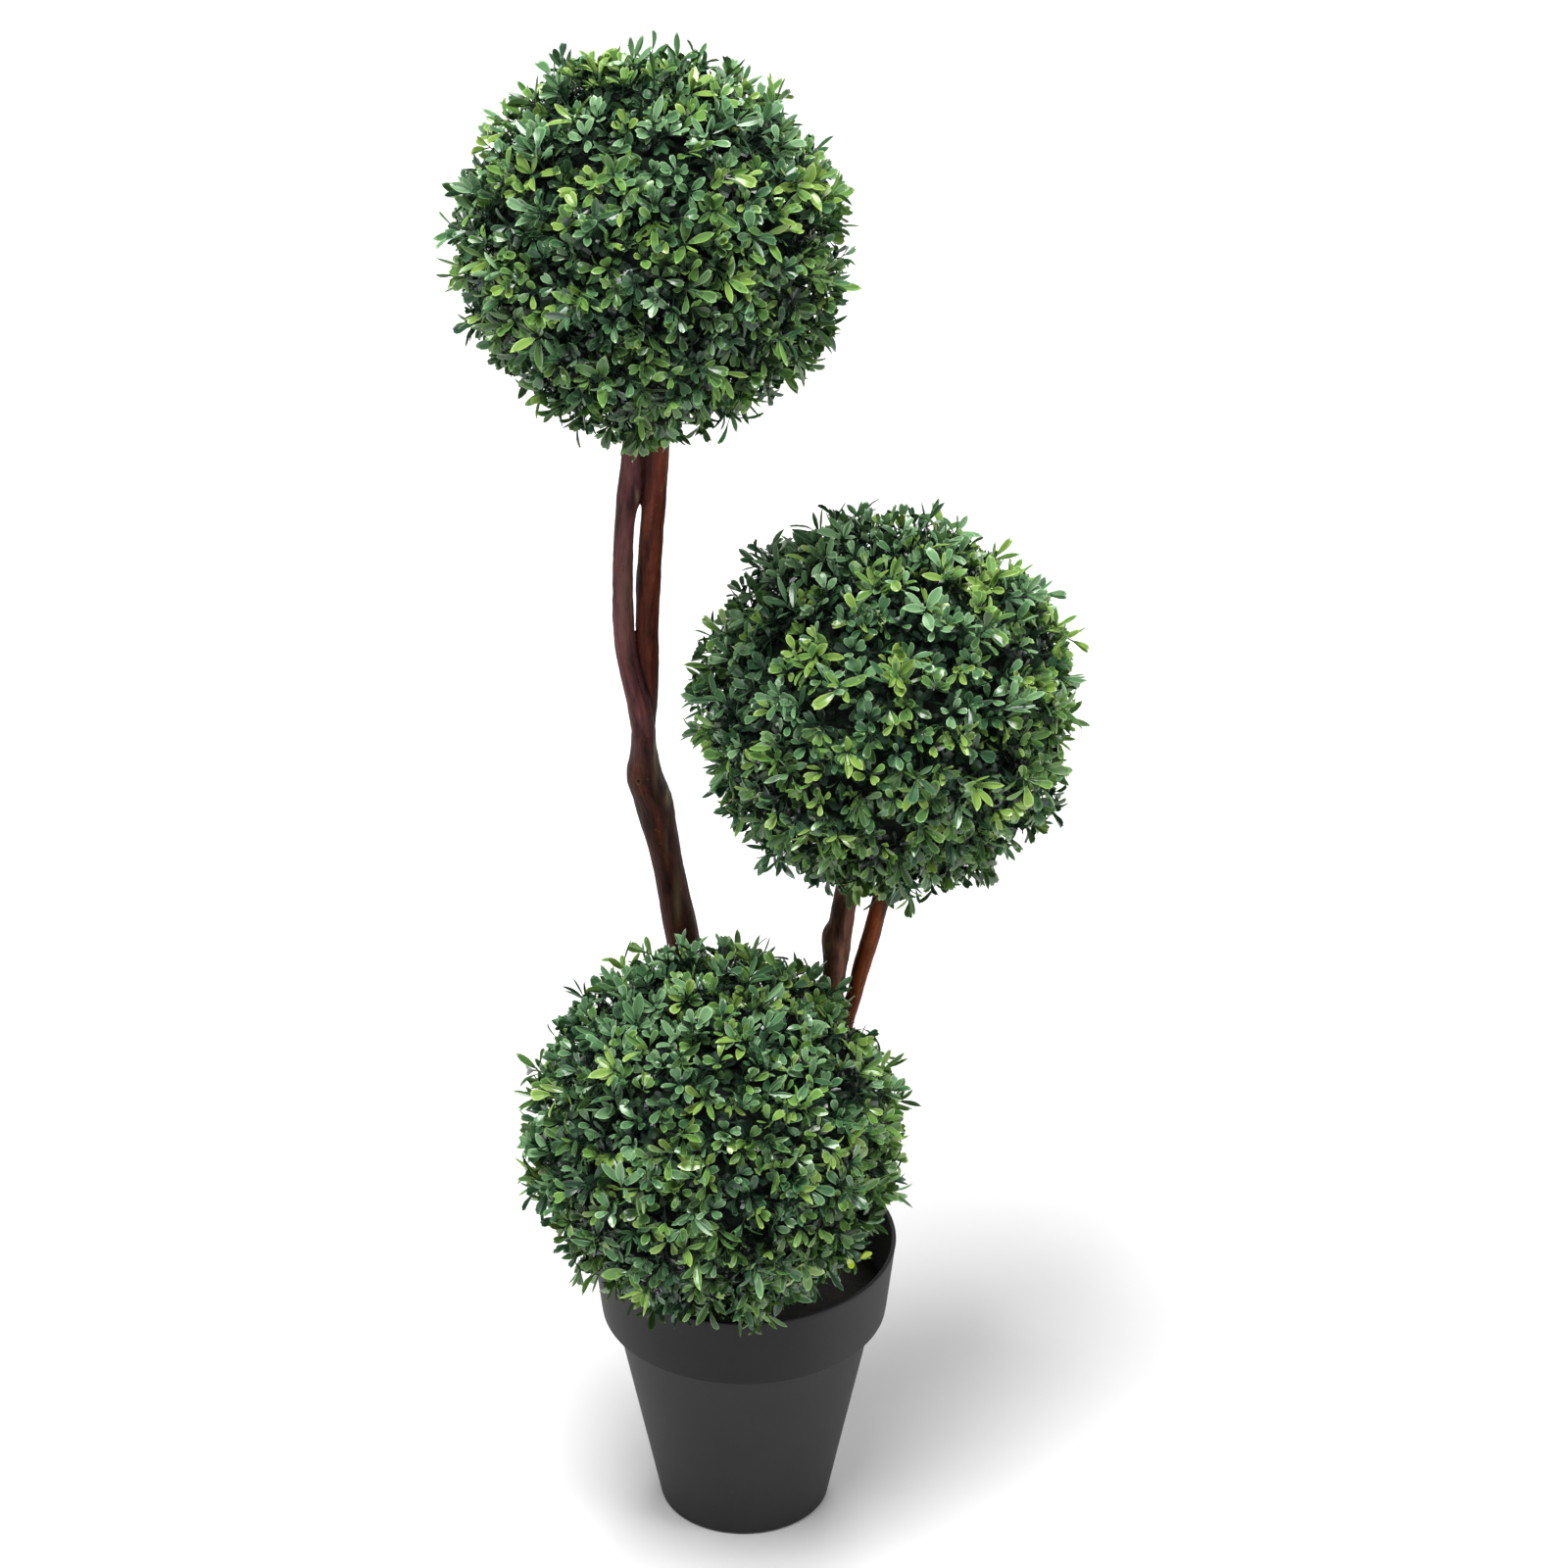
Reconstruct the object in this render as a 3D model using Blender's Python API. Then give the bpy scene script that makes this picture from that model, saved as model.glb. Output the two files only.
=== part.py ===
"""A potted triple ball topiary with plastic leaves and real wood sticks, at its real size.

Units are metres, +Z is up, and the origin is the middle of the pot's flat underside.
A tall forked stick, a shorter forked stick and a short stem stand in the fill of the pot.
Each carries one clipped ball: a round core that leaves and leafy twigs stand out of.
"""

import math
import random

import bmesh
import bpy
import numpy as np
from mathutils import Quaternion, Vector, noise

GAP = 0.0003                # left between solids that rest on each other

# Pot: a tapered body under a broad band that folds out at the rim
POT_HEIGHT = 0.219
RIM_RADIUS = 0.108
RIM_ROUNDING = 0.0015
BAND_HEIGHT = 0.058
BAND_FOOT_RADIUS = 0.101
BODY_TOP_RADIUS = 0.0925
BASE_RADIUS = 0.0592
BASE_ROUNDING = 0.004
POT_WALL = 0.003
POT_SEGMENTS = 36

# Cement fill, with a low crown round the sticks
FILL_DEPTH = 0.048          # from the rim down to the fill
FILL_CROWN = 0.003
FILL_CROWN_SHARE = 0.7      # of the radius, over which the crown is flat
FILL_SEGMENTS = POT_SEGMENTS
FILL_TOP = POT_HEIGHT - FILL_DEPTH

# Sticks
LIMB_SIDES = 10
LIMB_STEP = 0.0135          # between level sections
FORK_REACH = 0.07           # below a fork, over which a stick deepens front to back
FORK_TALL = 0.606
FORK_MIDDLE = 0.262
FOOT_LEVEL = FILL_TOP + FILL_CROWN + GAP

# Balls of leaves
BALL_RADIUS = 0.134         # to the clipped face of the leaves
BALL_REACH = 0.147          # to the furthest leaf tips
CORE_RADIUS = 0.110
CORE_LUMPS = (0.03, 22)     # height as a share of the radius, and how many to the metre
PLACES_PER_BALL = 114       # evenly over the core
PLACES_PER_TWIG = 3         # a twig at each of these places, and a lone leaf at the others
PLACE_JITTER = 0.07
STUB_LENGTH = 0.016         # of the stem that joins a core to its stick
STEM_INTO_LEAVES = 0.008    # how far below the core a stick ends

# Three-sided twigs, and the leaves that wind up them or stand on the core
TWIG_RADIUS = 0.0026
TWIG_ROOT_RADIUS = 0.0034
TWIG_SUNK = 0.008
TWIG_LEAN = 0.10            # sideways, as a share of its distance from the middle
TWIG_TIP = (0.91, 0.95)     # as a share of the ball's radius
TWIG_SAMPLES = (0.4, 0.6, 0.8, 1.0)
TWIG_LEAVES = (0.60, 0.96)  # where its first and last leaf stand, along the twig
TWIG_SPREAD = (72, 46)      # degrees from the twig, of its first and last leaf
LONE_SPREAD = (48, 66)      # degrees from upright, of a leaf on the core
LEAF_LENGTH = 0.040
LEAF_WIDTH = 0.025
LEAF_THICKNESS = 0.0018
LEAF_WIDEST = 0.58          # along the leaf, from its root
LEAF_SUNK = 0.006           # root of a leaf that stands on the core
LIMB_CLEARANCE = 0.0025
LEAF_CLEARANCE = 0.0045     # between test points of two leaves
LEAF_NEIGHBOURHOOD = 0.060  # further off than this, two leaves can't meet
LEAF_TRIES = 12
LEAVES_PER_TWIG = 3
LEAF_SIZES = (0.8, 1.15)    # over the usual length
LEAF_TURN = 0.5             # radians, the most that a leaf is turned from its place or twisted
LEAF_TILT = 14              # degrees, the most that its spread differs
SAMPLES_FROM = 0.3          # along the leaf
SAMPLES_ALONG = 8
SAMPLES_ACROSS = (-1, -0.5, 0, 0.5, 1)
GOLDEN_ANGLE = math.pi * (3 - math.sqrt(5))


# --- Materials and meshes ---------------------------------------------------------------

def principled(name, colour, roughness, metallic=0.0):
    material = bpy.data.materials.new(name)
    material.use_nodes = True
    shader = material.node_tree.nodes["Principled BSDF"]
    shader.inputs["Base Color"].default_value = (*colour, 1.0)
    shader.inputs["Roughness"].default_value = roughness
    shader.inputs["Metallic"].default_value = metallic
    return material


def object_from(name, bm, material=None, collection=None):
    bmesh.ops.recalc_face_normals(bm, faces=bm.faces[:])
    mesh = bpy.data.meshes.new(name)
    bm.to_mesh(mesh)
    bm.free()
    if material:
        mesh.materials.append(material)
    obj = bpy.data.objects.new(name, mesh)
    (collection or bpy.context.scene.collection).objects.link(obj)
    return obj


def skin_rings(bm, rings):
    """Closes a stack of rings of equal count into a tube with flat ends."""
    loops = [[bm.verts.new(point) for point in ring] for ring in rings]
    count = len(loops[0])
    for below, above in zip(loops, loops[1:]):
        for i in range(count):
            j = (i + 1) % count
            bm.faces.new((below[i], below[j], above[j], above[i]))
    bm.faces.new(reversed(loops[0]))
    bm.faces.new(loops[-1])


def turned(name, profile, segments, material):
    """Turns a profile of (radius, height) about Z; its two ends become flat discs."""
    bm = bmesh.new()
    rings = []
    for radius, height in profile:
        turns = (math.tau * i / segments for i in range(segments))
        rings.append([(radius * math.cos(a), radius * math.sin(a), height) for a in turns])
    skin_rings(bm, rings)
    obj = object_from(name, bm, material)
    obj.data.shade_smooth()
    obj.data.set_sharp_from_angle(angle=math.radians(35))
    return obj


def arc(centre, radius, start, end, steps):
    """Points of (radius, height) on an arc, with its angles in degrees."""
    points = []
    for i in range(steps + 1):
        a = math.radians(start + (end - start) * i / steps)
        points.append((centre[0] + radius * math.cos(a), centre[1] + radius * math.sin(a)))
    return points


# --- Pot and fill -----------------------------------------------------------------------

def body_radius(height):
    """Outer radius of the pot's tapered body."""
    return BASE_RADIUS + (BODY_TOP_RADIUS - BASE_RADIUS) * height / (POT_HEIGHT - BAND_HEIGHT)


def band_radius(height):
    """Outer radius of the rim band."""
    share = (height - (POT_HEIGHT - BAND_HEIGHT)) / BAND_HEIGHT
    return BAND_FOOT_RADIUS + (RIM_RADIUS - BAND_FOOT_RADIUS) * share


def inner_radius(height):
    """Radius of the pot's inside, which steps in below the band."""
    ledge = POT_HEIGHT - BAND_HEIGHT + POT_WALL
    outer = band_radius(height) if height >= ledge else body_radius(height)
    return outer - POT_WALL


def make_pot():
    plastic = principled("charcoal_plastic", (0.041, 0.040, 0.042), 0.62)
    band_foot = POT_HEIGHT - BAND_HEIGHT
    ledge = band_foot + POT_WALL
    rounding = (body_radius(BASE_ROUNDING) - BASE_ROUNDING, BASE_ROUNDING)
    profile = arc(rounding, BASE_ROUNDING, -90, 0, 3)
    profile += [(body_radius(band_foot), band_foot), (BAND_FOOT_RADIUS, band_foot)]
    lip = (RIM_RADIUS - RIM_ROUNDING, POT_HEIGHT - RIM_ROUNDING)
    profile += arc(lip, RIM_ROUNDING, 0, 180, 4)
    profile += [(inner_radius(ledge), ledge), (body_radius(ledge) - POT_WALL, ledge)]
    profile += [(inner_radius(POT_WALL), POT_WALL)]
    return turned("pot", profile, POT_SEGMENTS, plastic)


def make_fill():
    cement = principled("dark_cement", (0.045, 0.042, 0.038), 0.95)
    ledge = POT_HEIGHT - BAND_HEIGHT + POT_WALL
    floor = POT_WALL + GAP
    profile = [(inner_radius(floor) - GAP, floor)]
    profile += [(body_radius(ledge) - POT_WALL - GAP, ledge + GAP)]
    profile += [(inner_radius(ledge) - GAP, ledge + GAP), (inner_radius(FILL_TOP) - GAP, FILL_TOP)]
    profile += [(FILL_CROWN_SHARE * inner_radius(FILL_TOP), FILL_TOP + FILL_CROWN)]
    return turned("pot_fill", profile, FILL_SEGMENTS, cement)


def touches_pot(point, margin):
    """Whether a point lies in the pot's wall or fill, or within the margin of them."""
    radius, height = math.hypot(point.x, point.y), point.z
    if height > POT_HEIGHT + margin:
        return False
    if height < POT_HEIGHT - BAND_HEIGHT:
        return radius < band_radius(height) + margin
    outside = radius > band_radius(height) + margin
    inside = radius < inner_radius(height) - margin
    above_fill = height > FILL_TOP + FILL_CROWN + margin
    return not (outside or (inside and above_fill))


# --- Sticks -----------------------------------------------------------------------------

class Limb:
    """A stick with level sections, on a smooth curve through (x, y, height, radius) points."""

    def __init__(self, name, route, fork_depth=1.0):
        self.name = name
        self.route = [Vector(point) for point in route]
        self.fork_depth = fork_depth    # how much deeper than wide the top is, front to back

    @property
    def bottom(self):
        return self.route[0].z

    @property
    def top(self):
        return self.route[-1].z

    def at(self, height):
        """Middle of the section at a height, and its half width."""
        points = self.route
        i = max(k for k in range(len(points) - 1) if k == 0 or points[k].z <= height)
        before, start, end = points[max(i - 1, 0)], points[i], points[i + 1]
        after = points[min(i + 2, len(points) - 1)]
        span = end.z - start.z
        t = (height - start.z) / span
        slope_start = (end - before) / (end.z - before.z)
        slope_end = (after - start) / (after.z - start.z)
        place = (2 * t**3 - 3 * t**2 + 1) * start + (t**3 - 2 * t**2 + t) * span * slope_start
        place += (3 * t**2 - 2 * t**3) * end + (t**3 - t**2) * span * slope_end
        return Vector((place.x, place.y, height)), place.w

    def depth(self, height):
        """Front-to-back radius over side-to-side radius, which grows below a fork."""
        near_top = max(0.0, 1 - (self.top - height) / FORK_REACH)
        return 1 + (self.fork_depth - 1) * near_top**2 * (3 - 2 * near_top)

    def ring(self, height, raised=0.0):
        """Points round the section at a height, lifted by so much."""
        centre, radius = self.at(height)
        centre.z += raised
        ring = []
        for i in range(LIMB_SIDES):
            a = math.tau * (i + 0.5) / LIMB_SIDES
            across, deep = radius * math.cos(a), radius * self.depth(height) * math.sin(a)
            ring.append(centre + Vector((across, deep, 0)))
        return ring

    def build(self, material):
        bm = bmesh.new()
        steps = round((self.top - self.bottom) / LIMB_STEP)
        levels = [self.bottom + (self.top - self.bottom) * i / steps for i in range(steps + 1)]
        skin_rings(bm, [self.ring(level) for level in levels])
        obj = object_from(self.name, bm, material)
        obj.data.shade_smooth()
        obj.data.set_sharp_from_angle(angle=math.radians(50))
        return obj

    def touches(self, point, margin):
        if not self.bottom - margin < point.z < self.top + margin:
            return False
        height = min(max(point.z, self.bottom), self.top)
        centre, radius = self.at(height)
        away = point - centre
        wide, deep = radius + margin, radius * self.depth(height) + margin
        return (away.x / wide) ** 2 + (away.y / deep) ** 2 < 1


# --- Balls of leaves --------------------------------------------------------------------

class Ball:
    """Where a ball is, the sticks whose tips meet its stem, and the seed of its growth."""

    def __init__(self, name, centre, limbs, seed):
        self.name = name
        self.centre = Vector(centre)
        self.limbs = limbs
        self.seed = seed


def core_level(centre, x, y):
    """Height of the core's lower face above the place x, y."""
    across = math.hypot(x - centre[0], y - centre[1])
    return centre[2] - math.sqrt(CORE_RADIUS**2 - across**2)


def add_core(centre, collection):
    bm = bmesh.new()
    bmesh.ops.create_icosphere(bm, subdivisions=3, radius=CORE_RADIUS)
    height, density = CORE_LUMPS
    for vert in bm.verts:
        lump = noise.noise((vert.co + 2 * centre) * density)
        vert.co = centre + vert.co * (1 + height * lump)
    object_from("core", bm, collection=collection)


def add_stub(limb, collection):
    """The stem that runs on from a stick's tip into the core."""
    bm = bmesh.new()
    end = GAP + STUB_LENGTH + STEM_INTO_LEAVES
    skin_rings(bm, [limb.ring(limb.top, raised=GAP), limb.ring(limb.top, raised=end)])
    object_from("stub", bm, collection=collection)


def frame_about(axis):
    """Two unit vectors square to the axis and to each other."""
    side = axis.orthogonal().normalized()
    return side, axis.cross(side).normalized()


def add_twig(start, end, collection):
    bm = bmesh.new()
    side, up = frame_about((end - start).normalized())
    rings = []
    for point, radius in ((start, TWIG_ROOT_RADIUS), (end, TWIG_RADIUS)):
        turns = (math.tau * i / 3 for i in range(3))
        rings.append([point + radius * (math.cos(a) * side + math.sin(a) * up) for a in turns])
    skin_rings(bm, rings)
    object_from("twig", bm, collection=collection)


class Leaf:
    """A pointed oval of eight faces, thickest and widest past its middle."""

    def __init__(self, root, along, across, length):
        self.root = root
        self.along = along
        self.across = across
        self.length = length
        self.half_width = LEAF_WIDTH / 2 * length / LEAF_LENGTH

    def point(self, share, side):
        """Point a share of the way to the tip, and from -1 to 1 across the blade."""
        wide = share / LEAF_WIDEST if share < LEAF_WIDEST else (1 - share) / (1 - LEAF_WIDEST)
        away = self.across * self.half_width * wide * side
        return self.root + self.along * self.length * share + away

    def samples(self):
        """Points spread over the leaf past its root, for testing what it comes near."""
        step = (1 - SAMPLES_FROM) / (SAMPLES_ALONG - 1)
        shares = [SAMPLES_FROM + step * i for i in range(SAMPLES_ALONG)]
        return [self.point(share, side) for share in shares for side in SAMPLES_ACROSS]

    def add(self, collection):
        bm = bmesh.new()
        half = self.along.cross(self.across).normalized() * LEAF_THICKNESS / 2
        middle = self.point(LEAF_WIDEST, 0)
        root, tip = bm.verts.new(self.root), bm.verts.new(self.point(1, 0))
        left = bm.verts.new(self.point(LEAF_WIDEST, -1))
        right = bm.verts.new(self.point(LEAF_WIDEST, 1))
        upper, lower = bm.verts.new(middle + half), bm.verts.new(middle - half)
        for end in (root, tip):
            for edge in (left, right):
                for face in (upper, lower):
                    bm.faces.new((end, edge, face))
        object_from("leaf", bm, collection=collection)


def golden_direction(index, count):
    """One of count directions that are spread evenly over a sphere."""
    height = 1 - 2 * (index + 0.5) / count
    turn = index * GOLDEN_ANGLE
    across = math.sqrt(1 - height**2)
    return Vector((across * math.cos(turn), across * math.sin(turn), height))


def twig_ends(rng, centre, direction):
    """Where a twig starts inside the core, and where it ends among the leaves."""
    side, up = frame_about(direction)
    way = rng.uniform(0, math.tau)
    lean = TWIG_LEAN * (math.cos(way) * side + math.sin(way) * up)
    base = centre + direction * (CORE_RADIUS - TWIG_SUNK)
    tip = centre + (direction + lean).normalized() * rng.uniform(*TWIG_TIP) * BALL_RADIUS
    return base, tip


def leaf_places(rng, base, tip):
    """Places of one twig's leaves, which wind up it, each steeper than the one below."""
    axis = (tip - base).normalized()
    turn = rng.uniform(0, math.tau)
    for i in range(LEAVES_PER_TWIG):
        share = i / (LEAVES_PER_TWIG - 1)
        up_twig = TWIG_LEAVES[0] + (TWIG_LEAVES[1] - TWIG_LEAVES[0]) * share
        spread = TWIG_SPREAD[0] + (TWIG_SPREAD[1] - TWIG_SPREAD[0]) * share
        yield base.lerp(tip, up_twig), axis, turn + i * GOLDEN_ANGLE, spread


def leaf_at(rng, node, axis, turn, spread):
    """A leaf that roots at the node, turned about the axis and spread away from it in degrees."""
    side, up = frame_about(axis)
    turn += rng.uniform(-LEAF_TURN, LEAF_TURN)
    tilt = math.radians(spread + rng.uniform(-LEAF_TILT, LEAF_TILT))
    outward = math.cos(turn) * side + math.sin(turn) * up
    along = (math.cos(tilt) * axis + math.sin(tilt) * outward).normalized()
    twist = Quaternion(along, rng.uniform(-LEAF_TURN, LEAF_TURN))
    across = twist @ axis.cross(outward).normalized()
    return Leaf(node, along, across, LEAF_LENGTH * rng.uniform(*LEAF_SIZES))


def joined(name, collection, material):
    """One closed body from everything in the collection, which is then removed."""
    first = collection.objects[0]
    union = first.modifiers.new("joined", "BOOLEAN")
    union.operation = "UNION"
    union.operand_type = "COLLECTION"
    union.solver = "MANIFOLD"
    others = bpy.data.collections.new(name + "_others")
    for obj in collection.objects[1:]:
        collection.objects.unlink(obj)
        others.objects.link(obj)
    bpy.context.scene.collection.children.link(others)
    union.collection = others
    bpy.context.view_layer.update()
    evaluated = first.evaluated_get(bpy.context.evaluated_depsgraph_get())
    mesh = bpy.data.meshes.new_from_object(evaluated)
    for obj in [first, *others.objects]:
        bpy.data.objects.remove(obj)
    bpy.data.collections.remove(others)
    bpy.data.collections.remove(collection)
    keep_outer_skin(mesh)
    mesh.name = name
    mesh.materials.clear()
    mesh.materials.append(material)
    obj = bpy.data.objects.new(name, mesh)
    bpy.context.scene.collection.objects.link(obj)
    return obj


def keep_outer_skin(mesh):
    """Drops loose scraps, and the skins of sealed hollows, which fills them."""
    bm = bmesh.new()
    bm.from_mesh(mesh)
    unseen = set(bm.verts)
    shells = []
    while unseen:
        shell, edge_of_search = set(), [unseen.pop()]
        while edge_of_search:
            vert = edge_of_search.pop()
            shell.add(vert)
            for edge in vert.link_edges:
                other = edge.other_vert(vert)
                if other in unseen:
                    unseen.discard(other)
                    edge_of_search.append(other)
        shells.append(shell)
    largest = max(shells, key=len)
    scraps = [vert for shell in shells if shell is not largest for vert in shell]
    bmesh.ops.delete(bm, geom=scraps, context="VERTS")
    bm.to_mesh(mesh)
    bm.free()


def make_ball(ball, limbs, material):
    rng = random.Random(ball.seed)
    collection = bpy.data.collections.new(ball.name)
    bpy.context.scene.collection.children.link(collection)
    placed = []

    def clear(points):
        for point in points:
            if (point - ball.centre).length > BALL_REACH or touches_pot(point, LIMB_CLEARANCE):
                return False
            if any(limb.touches(point, LIMB_CLEARANCE) for limb in limbs):
                return False
        return True

    def clear_of_leaves(points):
        points = np.array(points)
        middle = len(points) // 2
        for other in placed:
            if np.linalg.norm(points[middle] - other[middle]) > LEAF_NEIGHBOURHOOD:
                continue
            apart = np.linalg.norm(points[:, None] - other[None], axis=2)
            if apart.min() < LEAF_CLEARANCE:
                return False
        placed.append(points)
        return True

    add_core(ball.centre, collection)
    for limb in ball.limbs:
        add_stub(limb, collection)
    for i in range(PLACES_PER_BALL):
        jitter = Vector([rng.uniform(-PLACE_JITTER, PLACE_JITTER) for _ in range(3)])
        direction = (golden_direction(i, PLACES_PER_BALL) + jitter).normalized()
        if i % PLACES_PER_TWIG:
            base = ball.centre + direction * (CORE_RADIUS - LEAF_SUNK)
            places = [(base, direction, rng.uniform(0, math.tau), rng.uniform(*LONE_SPREAD))]
        else:
            base, tip = twig_ends(rng, ball.centre, direction)
            if not clear([base.lerp(tip, share) for share in TWIG_SAMPLES]):
                continue
            add_twig(base, tip, collection)
            places = leaf_places(rng, base, tip)
        for place in places:
            for _ in range(LEAF_TRIES):
                leaf = leaf_at(rng, *place)
                if clear(leaf.samples()) and clear_of_leaves(leaf.samples()):
                    leaf.add(collection)
                    break
    return joined(ball.name, collection, material)


# --- The whole plant --------------------------------------------------------------------

def main():
    for obj in list(bpy.data.objects):
        bpy.data.objects.remove(obj)

    make_pot()
    make_fill()

    top_centre, middle_centre = (-0.0635, 0.025, 1.022), (0.100, 0.020, 0.653)
    low_centre = (-0.0205, -0.050, 0.341)
    below_core = {}
    for name, centre, (x, y) in (
        ("tall_left", top_centre, (-0.0725, 0.033)),
        ("tall_right", top_centre, (-0.0570, 0.033)),
        ("middle_left", middle_centre, (0.0780, 0.038)),
        ("middle_right", middle_centre, (0.1085, 0.031)),
        ("low", low_centre, (-0.0190, -0.046)),
    ):
        below_core[name] = (x, y, core_level(centre, x, y) - STEM_INTO_LEAVES)

    above_tall, above_middle = FORK_TALL + GAP, FORK_MIDDLE + GAP
    tall_trunk = Limb(
        "tall_trunk",
        [(-0.0020, 0.0550, FOOT_LEVEL, 0.0142), (-0.0090, 0.0600, 0.2050, 0.0118),
         (-0.0315, 0.0770, 0.3420, 0.0112), (-0.0403, 0.0740, 0.4100, 0.0109),
         (-0.0472, 0.0710, 0.4567, 0.0101), (-0.0525, 0.0685, 0.4915, 0.0095),
         (-0.0581, 0.0665, 0.5255, 0.0115), (-0.0620, 0.0655, 0.5475, 0.0132),
         (-0.0671, 0.0645, 0.5670, 0.0127), (-0.0684, 0.0630, 0.5890, 0.0088),
         (-0.0690, 0.0616, FORK_TALL, 0.0076)],
        fork_depth=1.88,
    )
    tall_left = Limb(
        "tall_bough_left",
        [(-0.0690, 0.0545, above_tall, 0.0070), (-0.0726, 0.0530, 0.6360, 0.0071),
         (-0.0795, 0.0505, 0.6780, 0.0068), (-0.0829, 0.0485, 0.7200, 0.0064),
         (-0.0807, 0.0435, 0.7828, 0.0058), (-0.0765, 0.0400, 0.8248, 0.0067),
         (*below_core["tall_left"], 0.0063)],
    )
    tall_right = Limb(
        "tall_bough_right",
        [(-0.0690, 0.0696, above_tall, 0.0062), (-0.0670, 0.0685, 0.6272, 0.0066),
         (-0.0661, 0.0655, 0.6500, 0.0073), (-0.0660, 0.0580, 0.6900, 0.0076),
         (-0.0645, 0.0500, 0.7400, 0.0077), (-0.0611, 0.0415, 0.8044, 0.0081),
         (*below_core["tall_right"], 0.0084)],
    )
    middle_trunk = Limb(
        "middle_trunk",
        [(0.0340, 0.0500, FOOT_LEVEL, 0.0134), (0.0390, 0.0545, 0.1950, 0.0110),
         (0.0440, 0.0580, 0.2150, 0.0102), (0.0528, 0.0620, FORK_MIDDLE, 0.0092)],
        fork_depth=1.5,
    )
    middle_left = Limb(
        "middle_bough_left",
        [(0.0500, 0.0550, above_middle, 0.0064), (0.0585, 0.0560, 0.3400, 0.0066),
         (0.0636, 0.0545, 0.3935, 0.0069), (0.0655, 0.0530, 0.4200, 0.0083),
         (0.0671, 0.0505, 0.4440, 0.0097), (0.0698, 0.0490, 0.4550, 0.0079),
         (*below_core["middle_left"], 0.0072)],
    )
    middle_right = Limb(
        "middle_bough_right",
        [(0.0560, 0.0692, above_middle, 0.0046), (0.0735, 0.0580, 0.3620, 0.0048),
         (0.0795, 0.0560, 0.3880, 0.0049), (0.0845, 0.0530, 0.4130, 0.0058),
         (0.0893, 0.0490, 0.4350, 0.0061), (0.0945, 0.0445, 0.4620, 0.0055),
         (*below_core["middle_right"], 0.0062)],
    )
    low_stem = Limb(
        "low_stem",
        [(-0.0140, -0.0400, FOOT_LEVEL, 0.0108), (-0.0150, -0.0410, 0.1900, 0.0092),
         (*below_core["low"], 0.0080)],
    )

    limbs = [tall_trunk, tall_left, tall_right, middle_trunk, middle_left, middle_right, low_stem]
    wood = principled("stained_wood", (0.085, 0.030, 0.016), 0.55)
    for limb in limbs:
        limb.build(wood)

    leaves = principled("green_plastic_leaves", (0.075, 0.165, 0.055), 0.5)
    for ball in (
        Ball("top_ball", top_centre, [tall_left, tall_right], seed=11),
        Ball("middle_ball", middle_centre, [middle_left, middle_right], seed=23),
        Ball("bottom_ball", low_centre, [low_stem], seed=37),
    ):
        make_ball(ball, limbs, leaves)


main()
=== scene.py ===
import math

import bmesh
import bpy
import numpy as np
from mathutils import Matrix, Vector, noise


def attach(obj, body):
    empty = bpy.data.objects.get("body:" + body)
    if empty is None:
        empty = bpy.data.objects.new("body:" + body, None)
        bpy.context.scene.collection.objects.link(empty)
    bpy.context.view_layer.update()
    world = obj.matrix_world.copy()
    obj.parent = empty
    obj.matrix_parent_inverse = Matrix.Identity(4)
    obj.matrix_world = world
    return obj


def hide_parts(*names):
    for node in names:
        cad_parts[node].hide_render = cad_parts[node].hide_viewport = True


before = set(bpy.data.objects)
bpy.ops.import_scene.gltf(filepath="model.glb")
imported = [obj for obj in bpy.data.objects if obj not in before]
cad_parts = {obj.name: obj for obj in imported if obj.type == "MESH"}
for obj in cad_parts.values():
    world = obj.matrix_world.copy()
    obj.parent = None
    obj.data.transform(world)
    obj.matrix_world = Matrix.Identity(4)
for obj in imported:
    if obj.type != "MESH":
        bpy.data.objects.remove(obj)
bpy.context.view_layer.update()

goldenAngle = math.pi * (3 - math.sqrt(5))
gap = 0.0003        # between the cement and what it touches


# tools: colours, shader sums, meshes from arrays

def tint(code):
    # "rrggbb" as it looks on a screen, to the linear colour that a shader wants
    parts = [int(code[i:i + 2], 16) / 255 for i in (0, 2, 4)]
    return (*[p / 12.92 if p < 0.04045 else ((p + 0.055) / 1.055) ** 2.4 for p in parts], 1)


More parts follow.
